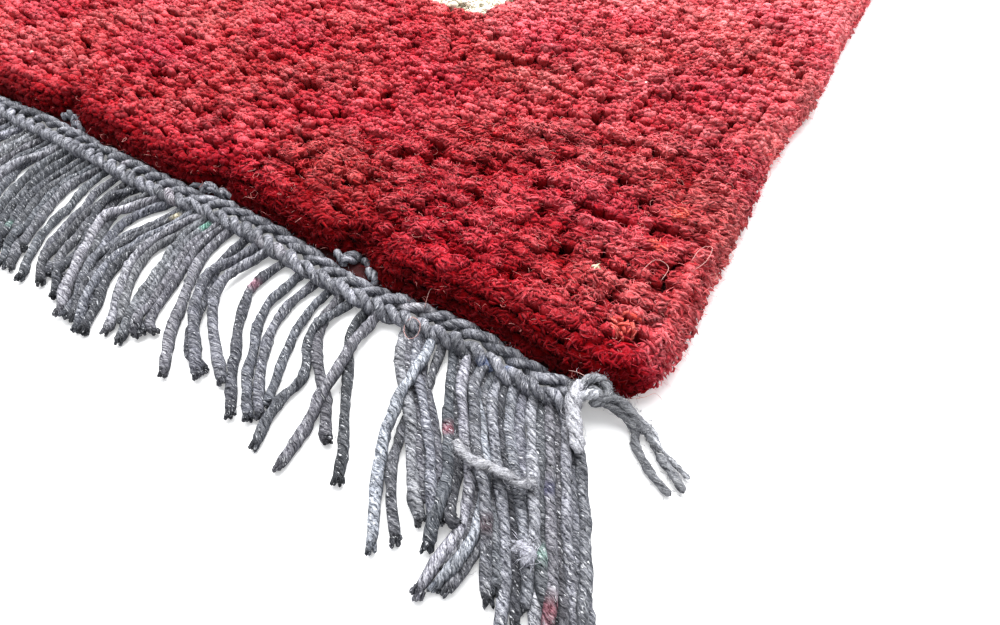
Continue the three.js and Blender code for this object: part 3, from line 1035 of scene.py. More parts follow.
    def knots(self) -> tuple[np.ndarray, np.ndarray, np.ndarray]:
        """Places the knots: rows and columns over the field, and rounds of them down its rim.

        Returns:
            The x and y of each tip on the straight field, the same of each root, and the height of each tip.
        """
        shape = self.shape
        pitch_x, pitch_y = shape.width / self.columns, shape.length / self.rows
        column, row = np.meshgrid(np.arange(self.columns), np.arange(self.rows))
        flat = np.stack([-shape.width / 2 + (column.ravel() + 0.5) * pitch_x,
                         -shape.length / 2 + (row.ravel() + 0.5) * pitch_y], 1)
        flat = flat[shape.rim_gap(flat[:, 0], flat[:, 1])[0] > self.field_inset]
        tips, roots, heights = [flat], [flat], [np.full(len(flat), shape.pile_top - 0.2)]
        for number, degrees in enumerate(self.rim_angles):
            angle = math.radians(degrees)
            x, y = shape.around(self.rim_spacing)
            if number % 2:
                x, y = (x + np.roll(x, 1)) / 2, (y + np.roll(y, 1)) / 2
            _, out_x, out_y = shape.rim_gap(x, y)
            back = shape.set_back(x, y, out_y)
            endward = smooth((np.abs(out_y) - 0.4) / 0.5)[:, None]
            profile = self.side_round.point(angle) * (1 - endward) + self.end_round.point(angle) * endward
            out = np.stack([out_x, out_y], 1)
            tip = np.stack([x, y], 1) - out * (profile[:, :1] + back[:, None])
            tips.append(tip)
            roots.append(tip - out * (1.0 + 3.2 * math.cos(angle)))
            heights.append(profile[:, 1])
        return np.concatenate(tips), np.concatenate(roots), np.concatenate(heights)

    def tufts(self, rng: np.random.Generator) -> dict[str, np.ndarray]:
        """Works out where each tuft stands, how it bends and its colour, painted shade included.

        Args:
            rng: Where the unevenness comes from.

        Returns:
            Arrays by name: root, knee, tip, dye, size, flow, the way in which its wool lies over, gap, how far
            it stands inside the outline, and at, its place on the straight field.
        """
        shape = self.shape
        at, foot, height = self.knots()
        u, v = at.T
        gap, _, out_y = shape.rim_gap(u, v)
        count = len(u)
        inner = smooth(gap / self.rim_width)
        loose = 0.35 + 0.65 * inner
        row = np.floor((v + shape.length / 2) / (shape.length / self.rows))
        to_clump, traits = self.nearest_of(self.clump_size, 17, u, v)
        shift_y = (self.row_shift * Sway.ROW_SHIFT.over(u, row * 7.3) + rng.normal(0, 0.2, count)) * inner
        root_x, root_y = shape.placed(*foot.T)
        tip_x, tip_y = shape.placed(u, v)
        root = np.stack([root_x + rng.normal(0, 0.3, count) * inner, root_y + shift_y,
                         np.full(count, self.root_height)], 1)
        pull = self.clump_pull * to_clump * loose[:, None]
        tip_x = tip_x + pull[:, 0] + 0.6 * Sway.LEAN_ACROSS.over(u, v) * loose
        tip_x += rng.normal(0, 0.35, count) * loose
        tip_y = tip_y + shift_y + pull[:, 1] + (0.5 * Sway.LEAN_ALONG.over(u, v) - 0.4) * inner
        uneven = 0.4 * Sway.HEIGHT.over(u, v) + 0.15 * Sway.FINE_HEIGHT.over(u, v)
        top = height + uneven * inner + rng.normal(0, 0.17, count)
        apart = (to_clump**2).sum(1)
        top += (0.3 * traits[:, 0] + 0.35 - 0.045 * apart) * (0.25 + 0.75 * inner)
        top -= self.row_sink * np.clip(Sway.SUNK_ROWS.over(u, row * 11.3), 0, 1.5) * inner
        away, pitted = self.pits(u, v)
        tip_x, tip_y = tip_x + away[:, 0] * inner, tip_y + away[:, 1] * inner
        open_y, sink = self.parted(u, v)
        top -= sink + pitted * inner
        tip_y = tip_y + rng.normal(0, 0.3, count) * loose + open_y
        tip = np.stack([tip_x, tip_y, np.maximum(top, self.lowest_tip)], 1)
        knee = root + (tip - root) * (0.35, 0.35, 0.75)
        dye = self.dyes(u, v, apart, traits[:, 1], rng)
        # painted shade: tufts that stand lower than the rest, and those of the near end's wall, which faces
        # away from the light, get darker
        wall_shade = (1.6 * np.clip((14.6 - height) / 5, 0, 1) + 0.8 * smooth(1 - gap / 18)) * smooth(-out_y)
        dye = painted_deep_shade(dye, np.clip((height + 0.2 - tip[:, 2]) / 3.0, 0, 1) * inner)
        dye = painted_deep_shade(dye, np.clip(wall_shade, 0, 1.7))
        size = np.clip(1 + 0.1 * rng.standard_normal(count), 0.75, 1.3)
        heading = -0.7 + 1.3 * Sway.FLOW.over(u, v) + 0.5 * traits[:, 0]
        flow = level_way(heading)
        return {"root": root, "knee": knee, "tip": tip, "dye": dye, "size": size, "flow": flow, "gap": gap,
                "at": np.stack([u, v], 1)}

    def dyes(self, u: np.ndarray, v: np.ndarray, apart: np.ndarray, clump_value: np.ndarray,
             rng: np.random.Generator) -> np.ndarray:
        """Works out the colour of each tuft, as its wool was dyed, with painted shade where it stands away
        from the middle of its clump.

        Args:
            u: The tufts' places across the straight field.
            v: Their places along it.
            apart: The square of the way from each to the middle of its clump.
            clump_value: How bright each one's clump is, as a random trait.
            rng: Where the unevenness comes from.

        Returns:
            The colours.
        """
        count = len(u)
        value = 1 + 0.06 * rng.standard_normal(count) + 0.09 * Sway.BRIGHTNESS.over(u, v)
        value += 0.06 * clump_value
        # painted shade: tufts away from the middle of their clump stand lower and are darker
        value *= np.clip(1.1 - 0.02 * apart, 0.8, 1.1)
        is_dark = rng.random(count) < self.dark_share
        value = np.where(is_dark, value * self.darkness, np.clip(value, 0.5, 1.5))
        warm = 1 + 0.2 * Sway.WARMTH.over(u, v)[:, None] * np.array([0, 1, 0.4])
        red = RED[None] * value[:, None] * warm
        return np.where(self.cream.covers(u, v)[:, None], CREAM * (0.6 + 0.4 * value[:, None]), red)

    def nearest_of(self, spacing: tuple, seed: int, u: np.ndarray,
                   v: np.ndarray) -> tuple[np.ndarray, np.ndarray]:
        """Scatters points over the field and finds the one nearest to each tuft.

        Args:
            spacing: How far apart the points are, across the field and along it.
            seed: The seed of the random numbers that place them.
            u: The tufts' places across the straight field.
            v: Their places along it.

        Returns:
            The way from each tuft to its nearest point, and two random traits of that point.
        """
        rng = np.random.default_rng(seed)
        size = np.array(spacing)
        counts = np.ceil(np.array([self.shape.width, self.shape.length]) / size).astype(int) + 4
        middles = rng.uniform(0.12, 0.88, (*counts, 2))
        traits = rng.standard_normal((*counts, 2))
        place = np.stack([u + self.shape.width / 2, v + self.shape.length / 2], 1) / size + 2
        cell = np.floor(place).astype(int)
        best = np.full(len(u), 99.0)
        way, chosen = np.zeros((len(u), 2)), np.zeros((len(u), 2))
        for step_x in (-1, 0, 1):
            for step_y in (-1, 0, 1):
                near = np.clip(cell + (step_x, step_y), 0, counts - 1)
                toward = near + middles[near[:, 0], near[:, 1]] - place
                distance = (toward**2).sum(1)
                closer = distance < best
                best = np.where(closer, distance, best)
                way = np.where(closer[:, None], toward * size, way)
                chosen = np.where(closer[:, None], traits[near[:, 0], near[:, 1]], chosen)
        return way, chosen

    def pits(self, u: np.ndarray, v: np.ndarray) -> tuple[np.ndarray, np.ndarray]:
        """Works out how small pits open: the x and y by which each tip moves, and how far it sinks."""
        way, traits = self.nearest_of(self.pit_size, 19, u, v)
        far = np.hypot(way[:, 0], way[:, 1])
        near = np.exp(-((far / self.pit_reach) ** 2)) * np.clip(0.5 + 0.7 * traits[:, 0], 0, 1.5)
        return -way / np.maximum(far, 0.3)[:, None] * (self.pit_push * near)[:, None], self.pit_depth * near

    def parted(self, u: np.ndarray, v: np.ndarray) -> tuple[np.ndarray, np.ndarray]:
        """Works out how the rows part: how far each tip moves along y and how far it sinks."""
        move, sink = np.zeros(len(u)), np.zeros(len(u))
        for at, start, stop, width, depth in self.partings:
            away = v - at - self.parting_bend * np.sin(u / 8.5 + at)
            window = smooth((u - start) / self.parting_fade) * smooth((stop - u) / self.parting_fade)
            open_share = np.clip(0.75 + 0.4 * Sway.PARTING.over(u, v), 0, 1.1)
            near = np.exp(-((away / self.parting_reach) ** 2)) * window * open_share
            move += np.sign(away) * width * 0.5 * near
            sink += depth * near**2
        return move, sink

    def zones(self, root: np.ndarray) -> np.ndarray:
        """Tells the zone of each tuft by its value."""
        top = root + UP * (self.shape.pile_top - self.root_height)
        seen = self.camera.sees(top, self.frame_margin) | self.camera.sees(root, self.frame_margin)
        away = self.camera.distance(top)
        zone = np.full(len(root), Zone.BACK.value)
        for name, reach in reversed(self.zone_reach):
            zone = np.where(seen & (away < reach), name.value, zone)
        return zone

    def lay(self, copies: JoinedCopies, kind: TuftKind, tufts: dict[str, np.ndarray],
            rng: np.random.Generator) -> None:
        """Copies a tuft to each of its places.

        Args:
            copies: What the copies are added to.
            kind: How closely the tufts are made.
            tufts: Where and how the tufts stand.
            rng: Where the unevenness comes from.
        """
        count = len(tufts["root"])
        core = Unit(kind.core_sides, list(kind.core_rings))
        routes = bent(tufts["root"], tufts["knee"], tufts["tip"], core.along)
        # painted shade on the cores, which lie under the wisps and between the tufts
        shaded_core_dye = painted_deep_shade(tufts["dye"], np.full(count, kind.depth))
        copies.add(core, routes, shaded_core_dye, rng, width=1.2 * tufts["size"], depth=0.86 * tufts["size"],
                   turn=rng.normal(0, 0.3, count),
                   unevenness=0.12 if kind.wisps else 0.06)
        if kind.wisps:
            self.add_wisps(copies, kind, tufts, rng)

    def add_wisps(self, copies: JoinedCopies, kind: TuftKind, tufts: dict[str, np.ndarray],
                  rng: np.random.Generator) -> None:
        """Adds the wisps of wool that lie over the head of each tuft, as the cut yarn opens and felts."""
        wisp = Unit(kind.wisp_sides, list(kind.wisp_rings))
        base, tip, flow = (np.repeat(tufts[key], kind.wisps, 0) for key in ("root", "tip", "flow"))
        count = len(tip)
        reach = self.head_radius * np.repeat(tufts["size"], kind.wisps)[:, None]
        rise = normalised(tip - base)
        middle = tip - rise * reach * 0.95 * self.head_flatness
        swing, lean, place, half = (rng.normal(0, 0.8, (count, 1)), rng.uniform(-1.25, 1.25, (count, 1)),
                                    rng.uniform(-0.8, 0.8, (count, 1)), rng.uniform(0.4, 1.0, (count, 1)))
        flow = flow * np.cos(swing) + np.cross(UP, flow) * np.sin(swing)
        ahead = normalised(flow - rise * (flow * rise).sum(1, keepdims=True))
        out = np.cross(rise, ahead) * np.sin(lean) + rise * np.cos(lean) * self.head_flatness
        start = middle + reach * 0.97 * (np.cos(place - half) * out + np.sin(place - half) * ahead)
        off = 1 + kind.shag * rng.uniform(-0.1, 0.5, (count, 1))
        top = middle + reach * off * (np.cos(place) * out + np.sin(place) * ahead)
        off += kind.shag * rng.uniform(-0.1, 1.0, (count, 1))
        end = middle + reach * off * (np.cos(place + half) * out + np.sin(place + half) * ahead)
        knee = 2 * top - (start + end) / 2
        for points in (start, knee, end):
            points[:, :2] = tip[:, :2] + (points[:, :2] - tip[:, :2]) * (1.12, 0.87)
            points[:, 2] = np.maximum(points[:, 2], 0.5)
        value = np.clip(rng.normal(1.0, 0.1, count), 0.6, 1.7)
        # painted shade: wisps that lean down the side of the head are darker, and all share some of the cores'
        # painted shade
        dye = painted_deep_shade(np.repeat(tufts["dye"], kind.wisps, 0) * value[:, None],
                       0.5 * kind.depth + 1.1 * (1 - np.cos(lean[:, 0])))
        for x, y, far, shade in self.flecks:
            near = np.hypot(top[:, 0] - x, top[:, 1] - y) < far
            dye = np.where(near[:, None], linear(*shade), dye)
        size = rng.uniform(0.7, 1.4, count)
        copies.add(wisp, bent(start, knee, end, wisp.along), dye, rng, width=size, depth=size,
                   turn=rng.uniform(0, math.tau, count), unevenness=0.12, lit=Lit.EVENLY)

    def fibres(self, tufts: dict[str, np.ndarray], material: bpy.types.Material) -> bpy.types.Object:
        """Makes the loose fibres over the tufts nearest to the camera: straight, curled and long ones."""
        rng = np.random.default_rng(21)
        copies = JoinedCopies("pile_fibres")
        hair = Unit(3, [Ring(0.5, 0.06)])
        tip = np.repeat(tufts["tip"], self.fibres_a_tuft, 0)
        count = len(tip)
        heading, away = rng.uniform(0, math.tau, count), rng.normal(0, 0.9, count)
        side = level_way(heading)
        root = tip + side * rng.uniform(0.4, 1.5, count)[:, None] - UP * rng.uniform(0.2, 1.4, count)[:, None]
        way = rng.choice([-1, 1], count)[:, None]
        run = np.stack([np.cos(away), np.sin(away) * 0.8, np.zeros(count)], 1) * way
        end = root + run * rng.uniform(1.6, 5.5, count)[:, None] + UP * rng.normal(0.4, 0.6, count)[:, None]
        knee = (root + end) / 2 + UP * rng.uniform(0.5, 1.8, count)[:, None] + rng.normal(0, 0.9, (count, 3))
        dye = self.fibre_dye(np.repeat(tufts["dye"], self.fibres_a_tuft, 0), 0.09, rng)
        copies.add(hair, bent(root, knee, end, hair.along), dye, rng, lit=Lit.EVENLY)
        self.add_curls(copies, tufts, rng)
        for points in self.stray_hairs:
            route = np.array(points)[None]
            long_hair = Unit(4, [Ring((step + 1) / 12, 0.08) for step in range(11)])
            copies.add(long_hair, threaded(route, long_hair.along), linear(236, 160, 150)[None], rng,
                       lit=Lit.EVENLY)
        return copies.build(material, "red_wool")

    def fibre_dye(self, dye: np.ndarray, pale_share: float, rng: np.random.Generator) -> np.ndarray:
        """Gives fibres a lighter colour than their tuft's, and some of them a pale one."""
        light = dye * rng.uniform(1.2, 2.4, len(dye))[:, None]
        return np.where(rng.random(len(dye))[:, None] < pale_share, linear(230, 118, 110), light)

    def add_curls(self, copies: JoinedCopies, tufts: dict[str, np.ndarray], rng: np.random.Generator) -> None:
        """Adds the curled fibres, which stand in small arcs and loops on the pile."""
        curl = Unit(3, [Ring((step + 0.5) / 6, 0.07) for step in range(6)])
        chosen = rng.random(len(tufts["tip"])) < 0.5
        tip = tufts["tip"][chosen]
        count = len(tip)
        turns, across = rng.uniform(0.3, 1.3, (count, 1, 1)), rng.uniform(0.6, 1.7, (count, 1, 1))
        angle = rng.uniform(0, math.tau, (count, 1, 1)) + math.tau * turns * curl.along[None, :, None]
        heading = rng.uniform(0, math.tau, (count, 1))
        run = np.stack([np.cos(heading), np.sin(heading), 0 * heading], 2)
        tilt = normalised(np.cross(run, UP) + UP * rng.uniform(0.2, 1.0, (count, 1, 1)))
        middle = tip[:, None] + UP * 0.6 + rng.normal(0, 1.2, (count, 1, 3)) * (1, 1, 0.2)
        route = middle + across * (np.cos(angle) * run + np.sin(angle) * tilt)
        route = route + run * (curl.along[None, :, None] - 0.5) * rng.uniform(0, 3.0, (count, 1, 1))
        copies.add(curl, route, self.fibre_dye(tufts["dye"][chosen], 0.3, rng), rng, lit=Lit.EVENLY)


@dataclass(frozen=True)
class Rope:
    """One rope of the twined edge: how far its middle lies outside the seam, and how it is laid."""

    out: float
    height: float
    way: int
    pitch: float
    coil_radius: float
    ply_radius: float


@dataclass
class TwinedEdge:
    """The narrow twined edge of one end: two ropes side by side, each of two plies."""

    shape: RugShape
    end: End
    ropes: tuple = (Rope(2.6, 3.7, 1, 16.0, 1.2, 1.5), Rope(7.6, 3.6, -1, 12.5, 1.45, 1.45))
    # a stretch of other yarn: its rope and ply, from x, to x, its colour
    stretches: tuple = (
        (1, 0, 257.5, 268.0, (104, 114, 142)), (0, 1, 226.0, 238.0, (160, 158, 164)),
        (1, 0, 168.0, 182.0, (150, 148, 154)), (0, 0, 84.0, 96.0, (152, 148, 156)),
        (1, 1, 118.0, 130.0, (150, 146, 152)),
    )
    loops_a_place: int = 9
    hairs_a_ply: int = 420
    # the frame begins at this x
    seen_from: float = -75.0
    # how far apart the rings of a ply lie at the near end and at the far one, and how many sides each has
    ring_spacing: tuple = (0.95, 2.2)
    ply_sides: tuple = (9, 5)

    def build(self, material: bpy.types.Material) -> bpy.types.Object:
        """Makes both ropes of the end, and the loops of yarn where the pile stands back."""
        rng = np.random.default_rng(31 + self.end.value)
        copies = JoinedCopies(f"twined_edge_{self.end.name.lower()}")
        for number, rope in enumerate(self.ropes):
            self.add_rope(copies, rope, number, rng)
        self.add_loops(copies, rng)
        return copies.build(material, "grey_wool")

    def add_rope(self, copies: JoinedCopies, rope: Rope, number: int, rng: np.random.Generator) -> None:
        """Lays the two plies of one rope round each other.

        Args:
            copies: What they are added to.
            rope: How the rope is laid.
            number: Its number from the seam outwards.
            rng: Where the unevenness comes from.
        """
        place = list(End).index(self.end)
        span = self.shape.edge_stop - self.shape.edge_start
        count = int(span / self.ring_spacing[place])
        share = (np.arange(count) + 1) / (count + 1)
        x = self.shape.edge_start + span * np.concatenate([[0], share, [1]])
        pitch = rope.pitch * (1 + 0.2 * drift_along(x, 33, 130 + number))
        angle = rope.way * np.cumsum(np.gradient(x) / pitch) * math.tau
        lift = 0.5 * drift_along(x, 27, 140 + number)
        for ply in range(2):
            seed = 150 + 10 * number + ply
            turned = angle + ply * math.pi + 0.35 * drift_along(x, 19, seed)
            coil = rope.coil_radius * (1 + 0.2 * drift_along(x, 23, seed + 2))
            out = rope.out + 0.5 * drift_along(x, 60, 3 + number) + coil * np.cos(turned)
            y = self.shape.seam(x * -self.end.value, self.end) + self.end.value * out
            route = np.stack([x * -self.end.value, y, rope.height + lift + coil * np.sin(turned)], 1)
            thick = 1 + 0.14 * drift_along(x, 14, seed + 4)
            rings = [Ring(at, rope.ply_radius * size) for at, size in zip(share, thick[1:-1])]
            unit = Unit(self.ply_sides[place], rings)
            value = 1.0 + 0.3 * drift_along(x, 16, seed + 6) + 0.25 * drift_along(x, 5, seed + 8)
            dye = GREY * np.clip(value, 0.4, 2.0)[:, None]
            for on, of, start, stop, shade in self.stretches:
                if (on, of) == (number, ply):
                    near = (smooth((x - start) / 2) * smooth((stop - x) / 2))[:, None]
                    dye = dye * (1 - near) + linear(*shade) * near
            copies.add(unit, route[None], dye[None], rng, unevenness=0.11, side=(0, 0, 1), lit=Lit.UPWARDS)
            if self.end is End.NEAR:
                seen = x > self.seen_from
                copies.add_hairs(route[None, seen], rope.ply_radius, self.hairs_a_ply, GREY[None] * 1.2, rng)

    def add_loops(self, copies: JoinedCopies, rng: np.random.Generator) -> None:
        """Adds the loops of yarn that stand out of the ground where the pile stands back."""
        loop = Unit(7, [Ring((step + 0.5) / 8, 1.15) for step in range(8)])
        places = np.array([(at, reach) for at, _, reach in self.shape.bare_places], float)
        place = np.repeat(places, self.loops_a_place, 0)
        count = len(place)
        x = (place[:, 0] + rng.normal(0, 0.5, count) * place[:, 1]) * -self.end.value
        inward = rng.uniform(0.2, 0.85, count) * self.shape.stand_back(x, self.end)
        middle = np.stack([x, self.shape.seam(x, self.end) - self.end.value * inward, np.full(count, 3.0)], 1)
        heading = rng.uniform(-1.0, 1.0, count)
        half = level_way(heading) * rng.uniform(1.4, 3.2, (count, 1))
        knee = middle + UP * rng.uniform(1.5, 7.0, (count, 1)) + rng.normal(0, 0.8, (count, 3)) * (1, 1, 0)
        dye = GREY * rng.uniform(0.7, 1.7, (count, 1))
        size = rng.uniform(0.8, 1.15, count)
        routes = bent(middle - half, knee, middle + half, loop.along)
        copies.add(loop, routes, dye, rng, width=size, depth=size, unevenness=0.08, side=(0, 0, 1),
                   lit=Lit.UPWARDS)


@dataclass
class Fringe:
    """The fringe of both ends: strands of twisted yarn that lie on the floor and over each other."""

    shape: RugShape
    camera: CameraPlace
    strands: int = 150
    thickness: float = 3.0
    points: int = 28
    levels: tuple = (-449.0, -460.0, -470.0, -480.0, -490.0)
    settle_rounds: int = 60
    hairs_a_strand: int = 20
    stubs_a_tip: int = 9
    # how near a strand may come to another, as a share of its thickness, and how far it sinks in each round
    nearness: float = 0.9
    sinking: float = 0.045
    # from here on every strand follows a guide, and those that would lie between two guides lie below them
    guided_from: float = 56.0
    filled: tuple = ((56.0, 168.0), (232.0, 290.0))
    # a guide strand: its x at the root and at the levels after it, the x and y of its tip, and how much it
    # is lifted
    guides: tuple = (
        (59, 60, 64, 70, 78, 88, -499, 0), (71, 72.5, 74, 80, 89, 97, -499, 0),
        (80, 79, 82, 89, 95.5, 104, -500, 1), (86, 88, 94, 98, 105, 115, -500, 0),
        (99, 101, 103.5, 108, 114, 123, -498, 1), (108, 105, 109, 118, 123, 132, -499, 0),
        (119, 113, 114, 121, 130, 141, -502, 1), (131, 129, 126, 128, 135, 143, -502, 0),
        (136, 134, 132, 133, 139.5, 151, -503, 1), (141, 139, 138, 143, 152, 159, -499, 0),
        (143, 143, 148, 152.5, 158.5, 165, -499, 1), (148, 148, 153, 158, 163, 168, -495, 0),
        (154, 155, 161, 168, 176, 186, -500, 0), (170, 166, 168, 175, 188, 195, -495, 2),
        (174, 172, 174, 183, 197.5, 202, -493, 3), (182, 180, 184.5, 193, 202.5, 212, -499, 0),
        (190, 190, 192, 200, 208, 217, -497, 1), (197, 196, 198, 204, 213, 219, -495, 0),
        (203, 203, 206, 211, 217, 219, -491, 1), (207, 209, 214, 227, 237.5, 238.5, -491, 0),
        (213, 210, 212, 219.5, 219.5, 224, -502, 1), (218, 219, 226.5, 235, 243, 249, -498, 0),
        (222, 223, 226, 228.5, 231, 234, -503, 3), (231, 237, 248, 257, 266, 271, -495, 0),
        (236, 242, 253, 263, 271, 275, -494, 1), (240, 245, 247, 250, 254.5, 266, -506, 4),
        (247, 255, 261, 268.5, 273, 276, -499, 0), (252, 258, 266, 275, 280, 280, -508, 1),
        (257, 263, 271, 279, 284, 283, -505, 0), (260, 262, 270, 278, 286, 293, -501, 1),
        (264, 267, 275, 283, 291, 299, -506, 0), (269, 273, 280, 289, 297, 302, -498, 1),
        (275, 280, 286, 292, 298, 306, -504, 0), (279, 285.5, 291, 296.5, 302, 309, -503, 1),
        (283, 290, 295, 301, 308, 315, -503, 0), (286, 292.5, 299.5, 305, 310, 318, -504, 1),
    )
    # the lean of the strands where no guide is near: x at the levels and the tip, from the root
    plain_lean: tuple = (0.0, 0.5, 3.0, 10.0, 18.0, 27.0)
    plain_tip: float = -499.0
    # a fleck of stray colour on one strand: its x and y, how far it reaches and its colour
    flecks: tuple = (
        (132.5, -454.4, 1.3, (240, 228, 190)), (146.1, -452.2, 1.6, (110, 200, 170)),
        (86.6, -488.9, 1.4, (120, 176, 158)), (180.8, -462.9, 1.6, (214, 160, 178)),
        (262.0, -472.8, 1.2, (196, 70, 96)), (286.6, -487.6, 1.6, (150, 50, 62)),
        (292.9, -473.1, 1.7, (44, 46, 84)), (298.3, -487.9, 1.8, (150, 176, 168)),
        (306.2, -496.2, 1.9, (196, 110, 124)),
    )

    def build(self, material: bpy.types.Material) -> list[bpy.types.Object]:
        """Makes the fringe of each end."""
        rng = np.random.default_rng(41)
        points = self.settled(self.targets(rng))
        seen = self.camera.sees(points, 60).any(1)
        fine_unit, plain_unit = self.strand_unit(36, 10), self.strand_unit(12, 5)
        dye = GREY * np.clip(1 + 0.3 * rng.standard_normal(len(points)), 0.5, 1.8)[:, None]
        # painted shade: strands that lie lower, under others, are darker
        dye = dye * np.clip(0.34 * points[:, self.points // 2, 2:], 0.45, 1.15)
        tint = rng.uniform(-0.025, 0.025, (len(points), 2))
        dye = dye * (1 + tint[:, :1] * np.array([-1, 0, 1]) + tint[:, 1:] * np.array([-0.5, 0.7, -0.2]))
        near = JoinedCopies("fringe_strands_near")
        self.lay(near, fine_unit, points[seen], dye[seen], rng)
        self.lay(near, plain_unit, points[~seen], dye[~seen], rng)
        self.add_splayed_tips(near, points[seen], dye[seen], rng)
        near.add_hairs(points[seen], self.thickness / 2, self.hairs_a_strand, dye[seen], rng)
        far = JoinedCopies("fringe_strands_far")
        self.lay(far, plain_unit, points * np.array([-1, -1, 1]), dye, rng)
        return [near.build(material, "grey_wool"), far.build(material, "grey_wool")]

    def strand_unit(self, count: int, sides: int) -> Unit:
        """Models a strand, round, with a blunt tip that its cut plies stand out of."""
        radius = self.thickness / 2
        rings = [Ring(0.93 * (step + 0.6) / (count - 2), radius) for step in range(count - 2)]
        return Unit(sides, rings + [Ring(0.965, radius * 0.95), Ring(0.99, radius * 0.75)])

    def targets(self, rng: np.random.Generator) -> np.ndarray:
        """Works out where each strand would lie if no other were in its way.

        Args:
            rng: Where the unevenness comes from.

        Returns:
            The points of each strand, by strand, number and axis.
        """
        shape = self.shape
        guides = np.array(self.guides, float)
        span = shape.edge_stop - shape.edge_start
        even = shape.edge_start + (np.arange(self.strands) + 0.5) * span / self.strands
        between = (guides[1:, 0] + guides[:-1, 0]) / 2
        is_filled = np.array([[start < at < stop for start, stop in self.filled] for at in between]).any(1)
        plain, below = even[even < self.guided_from], between[is_filled]
        root_x = np.concatenate([plain, guides[:, 0], below])
        order = np.argsort(root_x)
        root_x, under = root_x[order], (np.arange(len(root_x)) >= len(plain) + len(guides))[order]
        count = len(root_x)
        nearest = np.abs(root_x[:, None] - guides[None, :, 0]).argmin(1)
        offset = root_x - guides[nearest, 0]
        guided = (root_x > self.guided_from)[:, None] * 1.0
        share = np.linspace(0, 1, 6)
        levels = np.broadcast_to(np.array(self.levels), (count, 5))
        bounds = shape.edge_start + np.cumsum(rng.uniform(8, 16, 80))
        lock = np.searchsorted(bounds, root_x)
        gather = (bounds[lock] - 6 - root_x)[:, None]
        crossing = rng.normal(0, 1, count) * np.where(rng.random(count) < 0.3, 7.0, 3.0)
        sway = (3.5 * drift_along(root_x, 60, 42) + rng.normal(0, 2.5, 81)[lock] + crossing)[:, None]
        plain_x = root_x[:, None] + np.array(self.plain_lean) + gather * 0.95 * share**0.7 + sway * share
        plain_y = np.concatenate([levels, self.plain_tip + rng.normal(0, 2.4, (count, 1))], 1)
        guide_x = guides[nearest, :6] + offset[:, None]
        guide_tip = guides[nearest, 6:7] + rng.uniform(0, 8, (count, 1)) * under[:, None]
        x = plain_x * (1 - guided) + guide_x * guided
        y = plain_y * (1 - guided) + np.concatenate([levels, guide_tip], 1) * guided
        y[:, 0] = shape.seam(root_x, End.NEAR) - 6.0
        lift = guides[nearest, 7] * guided[:, 0] + rng.integers(0, 3, count) * (1 - guided[:, 0])
        lift = np.where(under, 0.0, lift + 0.7 * guided[:, 0])
        middle = np.array([1.8, 1.9, 1.8, 1.7, 1.7, 1.7])
        z = middle + 1.5 * lift[:, None] * np.sin(np.pi * np.clip(share * 1.1, 0, 1))
        along = np.linspace(0, 1, self.points)
        route = threaded(np.stack([x, y, z], 2), along)
        waves, phase = rng.uniform(2.5, 6.0, (2, count, 1)), rng.uniform(0, math.tau, (2, count, 1))
        reach = rng.uniform(0.15, 0.6, (2, count, 1))
        wobble = np.sin(math.tau * waves * along + phase) * reach * smooth(along / 0.2)
        route[..., 0] += wobble[0]
        route[..., 2] += 0.5 * wobble[1]
        return route

    def settled(self, targets: np.ndarray) -> np.ndarray:
        """Lets the strands push each other apart and settle on the floor.

        Args:
            targets: Where each strand would lie.

        Returns:
            Where it does lie.
        """
        place = targets.copy()
        count, points = targets.shape[:2]
        free = np.ones((count, points, 1))
        free[:, :2] = 0
        floor = self.thickness / 2 + 0.02
        apart = self.thickness * self.nearness
        for _ in range(self.settle_rounds):
            push = np.zeros_like(place)
            for step in range(1, 9):
                for shift in range(-4, 5):
                    first = place[: count - step, max(0, -shift): points - max(0, shift)]
                    second = place[step:, max(0, shift): points - max(0, -shift)]
                    away = first - second
                    distance = np.linalg.norm(away, axis=2, keepdims=True)
                    short = np.clip(apart - distance, 0, None)
                    move = away / np.maximum(distance, 0.1) * short * 0.2
                    push[: count - step, max(0, -shift): points - max(0, shift)] += move
                    push[step:, max(0, shift): points - max(0, -shift)] -= move
            place += push * free
            place += (targets - place) * np.array([0.1, 0.16, 0.0]) * free
            place[..., 2:] -= self.sinking * free
            middle = (place[:, :-2] + place[:, 2:]) / 2
            place[:, 1:-1] += (middle - place[:, 1:-1]) * 0.25 * free[:, 1:-1]
            place[..., 2] = np.maximum(place[..., 2], floor)
        return place

    def lay(self, copies: JoinedCopies, unit: Unit, points: np.ndarray, dye: np.ndarray,
            rng: np.random.Generator) -> None:
        """Copies a strand along each of the routes.

        Args:
            copies: What the copies are added to.
            unit: The strand.
            points: The points of the routes.
            dye: The colour of each strand.
            rng: Where the unevenness comes from.
        """
        routes = threaded(points, unit.along)
        colour = np.repeat(dye[:, None], len(unit.along), 1)
        for x, y, reach, shade in self.flecks:
            away = np.hypot(routes[..., 0] - x, routes[..., 1] - y)
            nearest = (away - 1.5 * routes[..., 2]).min(1).argmin()
            near = 0.75 * np.exp(-((away[nearest] / reach) ** 2))[:, None] * (away[nearest].min() < 4)
            colour[nearest] = colour[nearest] * (1 - near) + 0.55 * linear(*shade) * near
        colour = colour * (1 - 0.55 * smooth((unit.along - 0.95) / 0.05))[None, :, None]
        size = rng.uniform(0.9, 1.1, len(points))
        copies.add(unit, routes, colour, rng, turn=rng.uniform(0, math.tau, len(points)), unevenness=0.08,
                   width=size, depth=size, side=(0, 0, 1), swell=0.09, lit=Lit.UPWARDS)

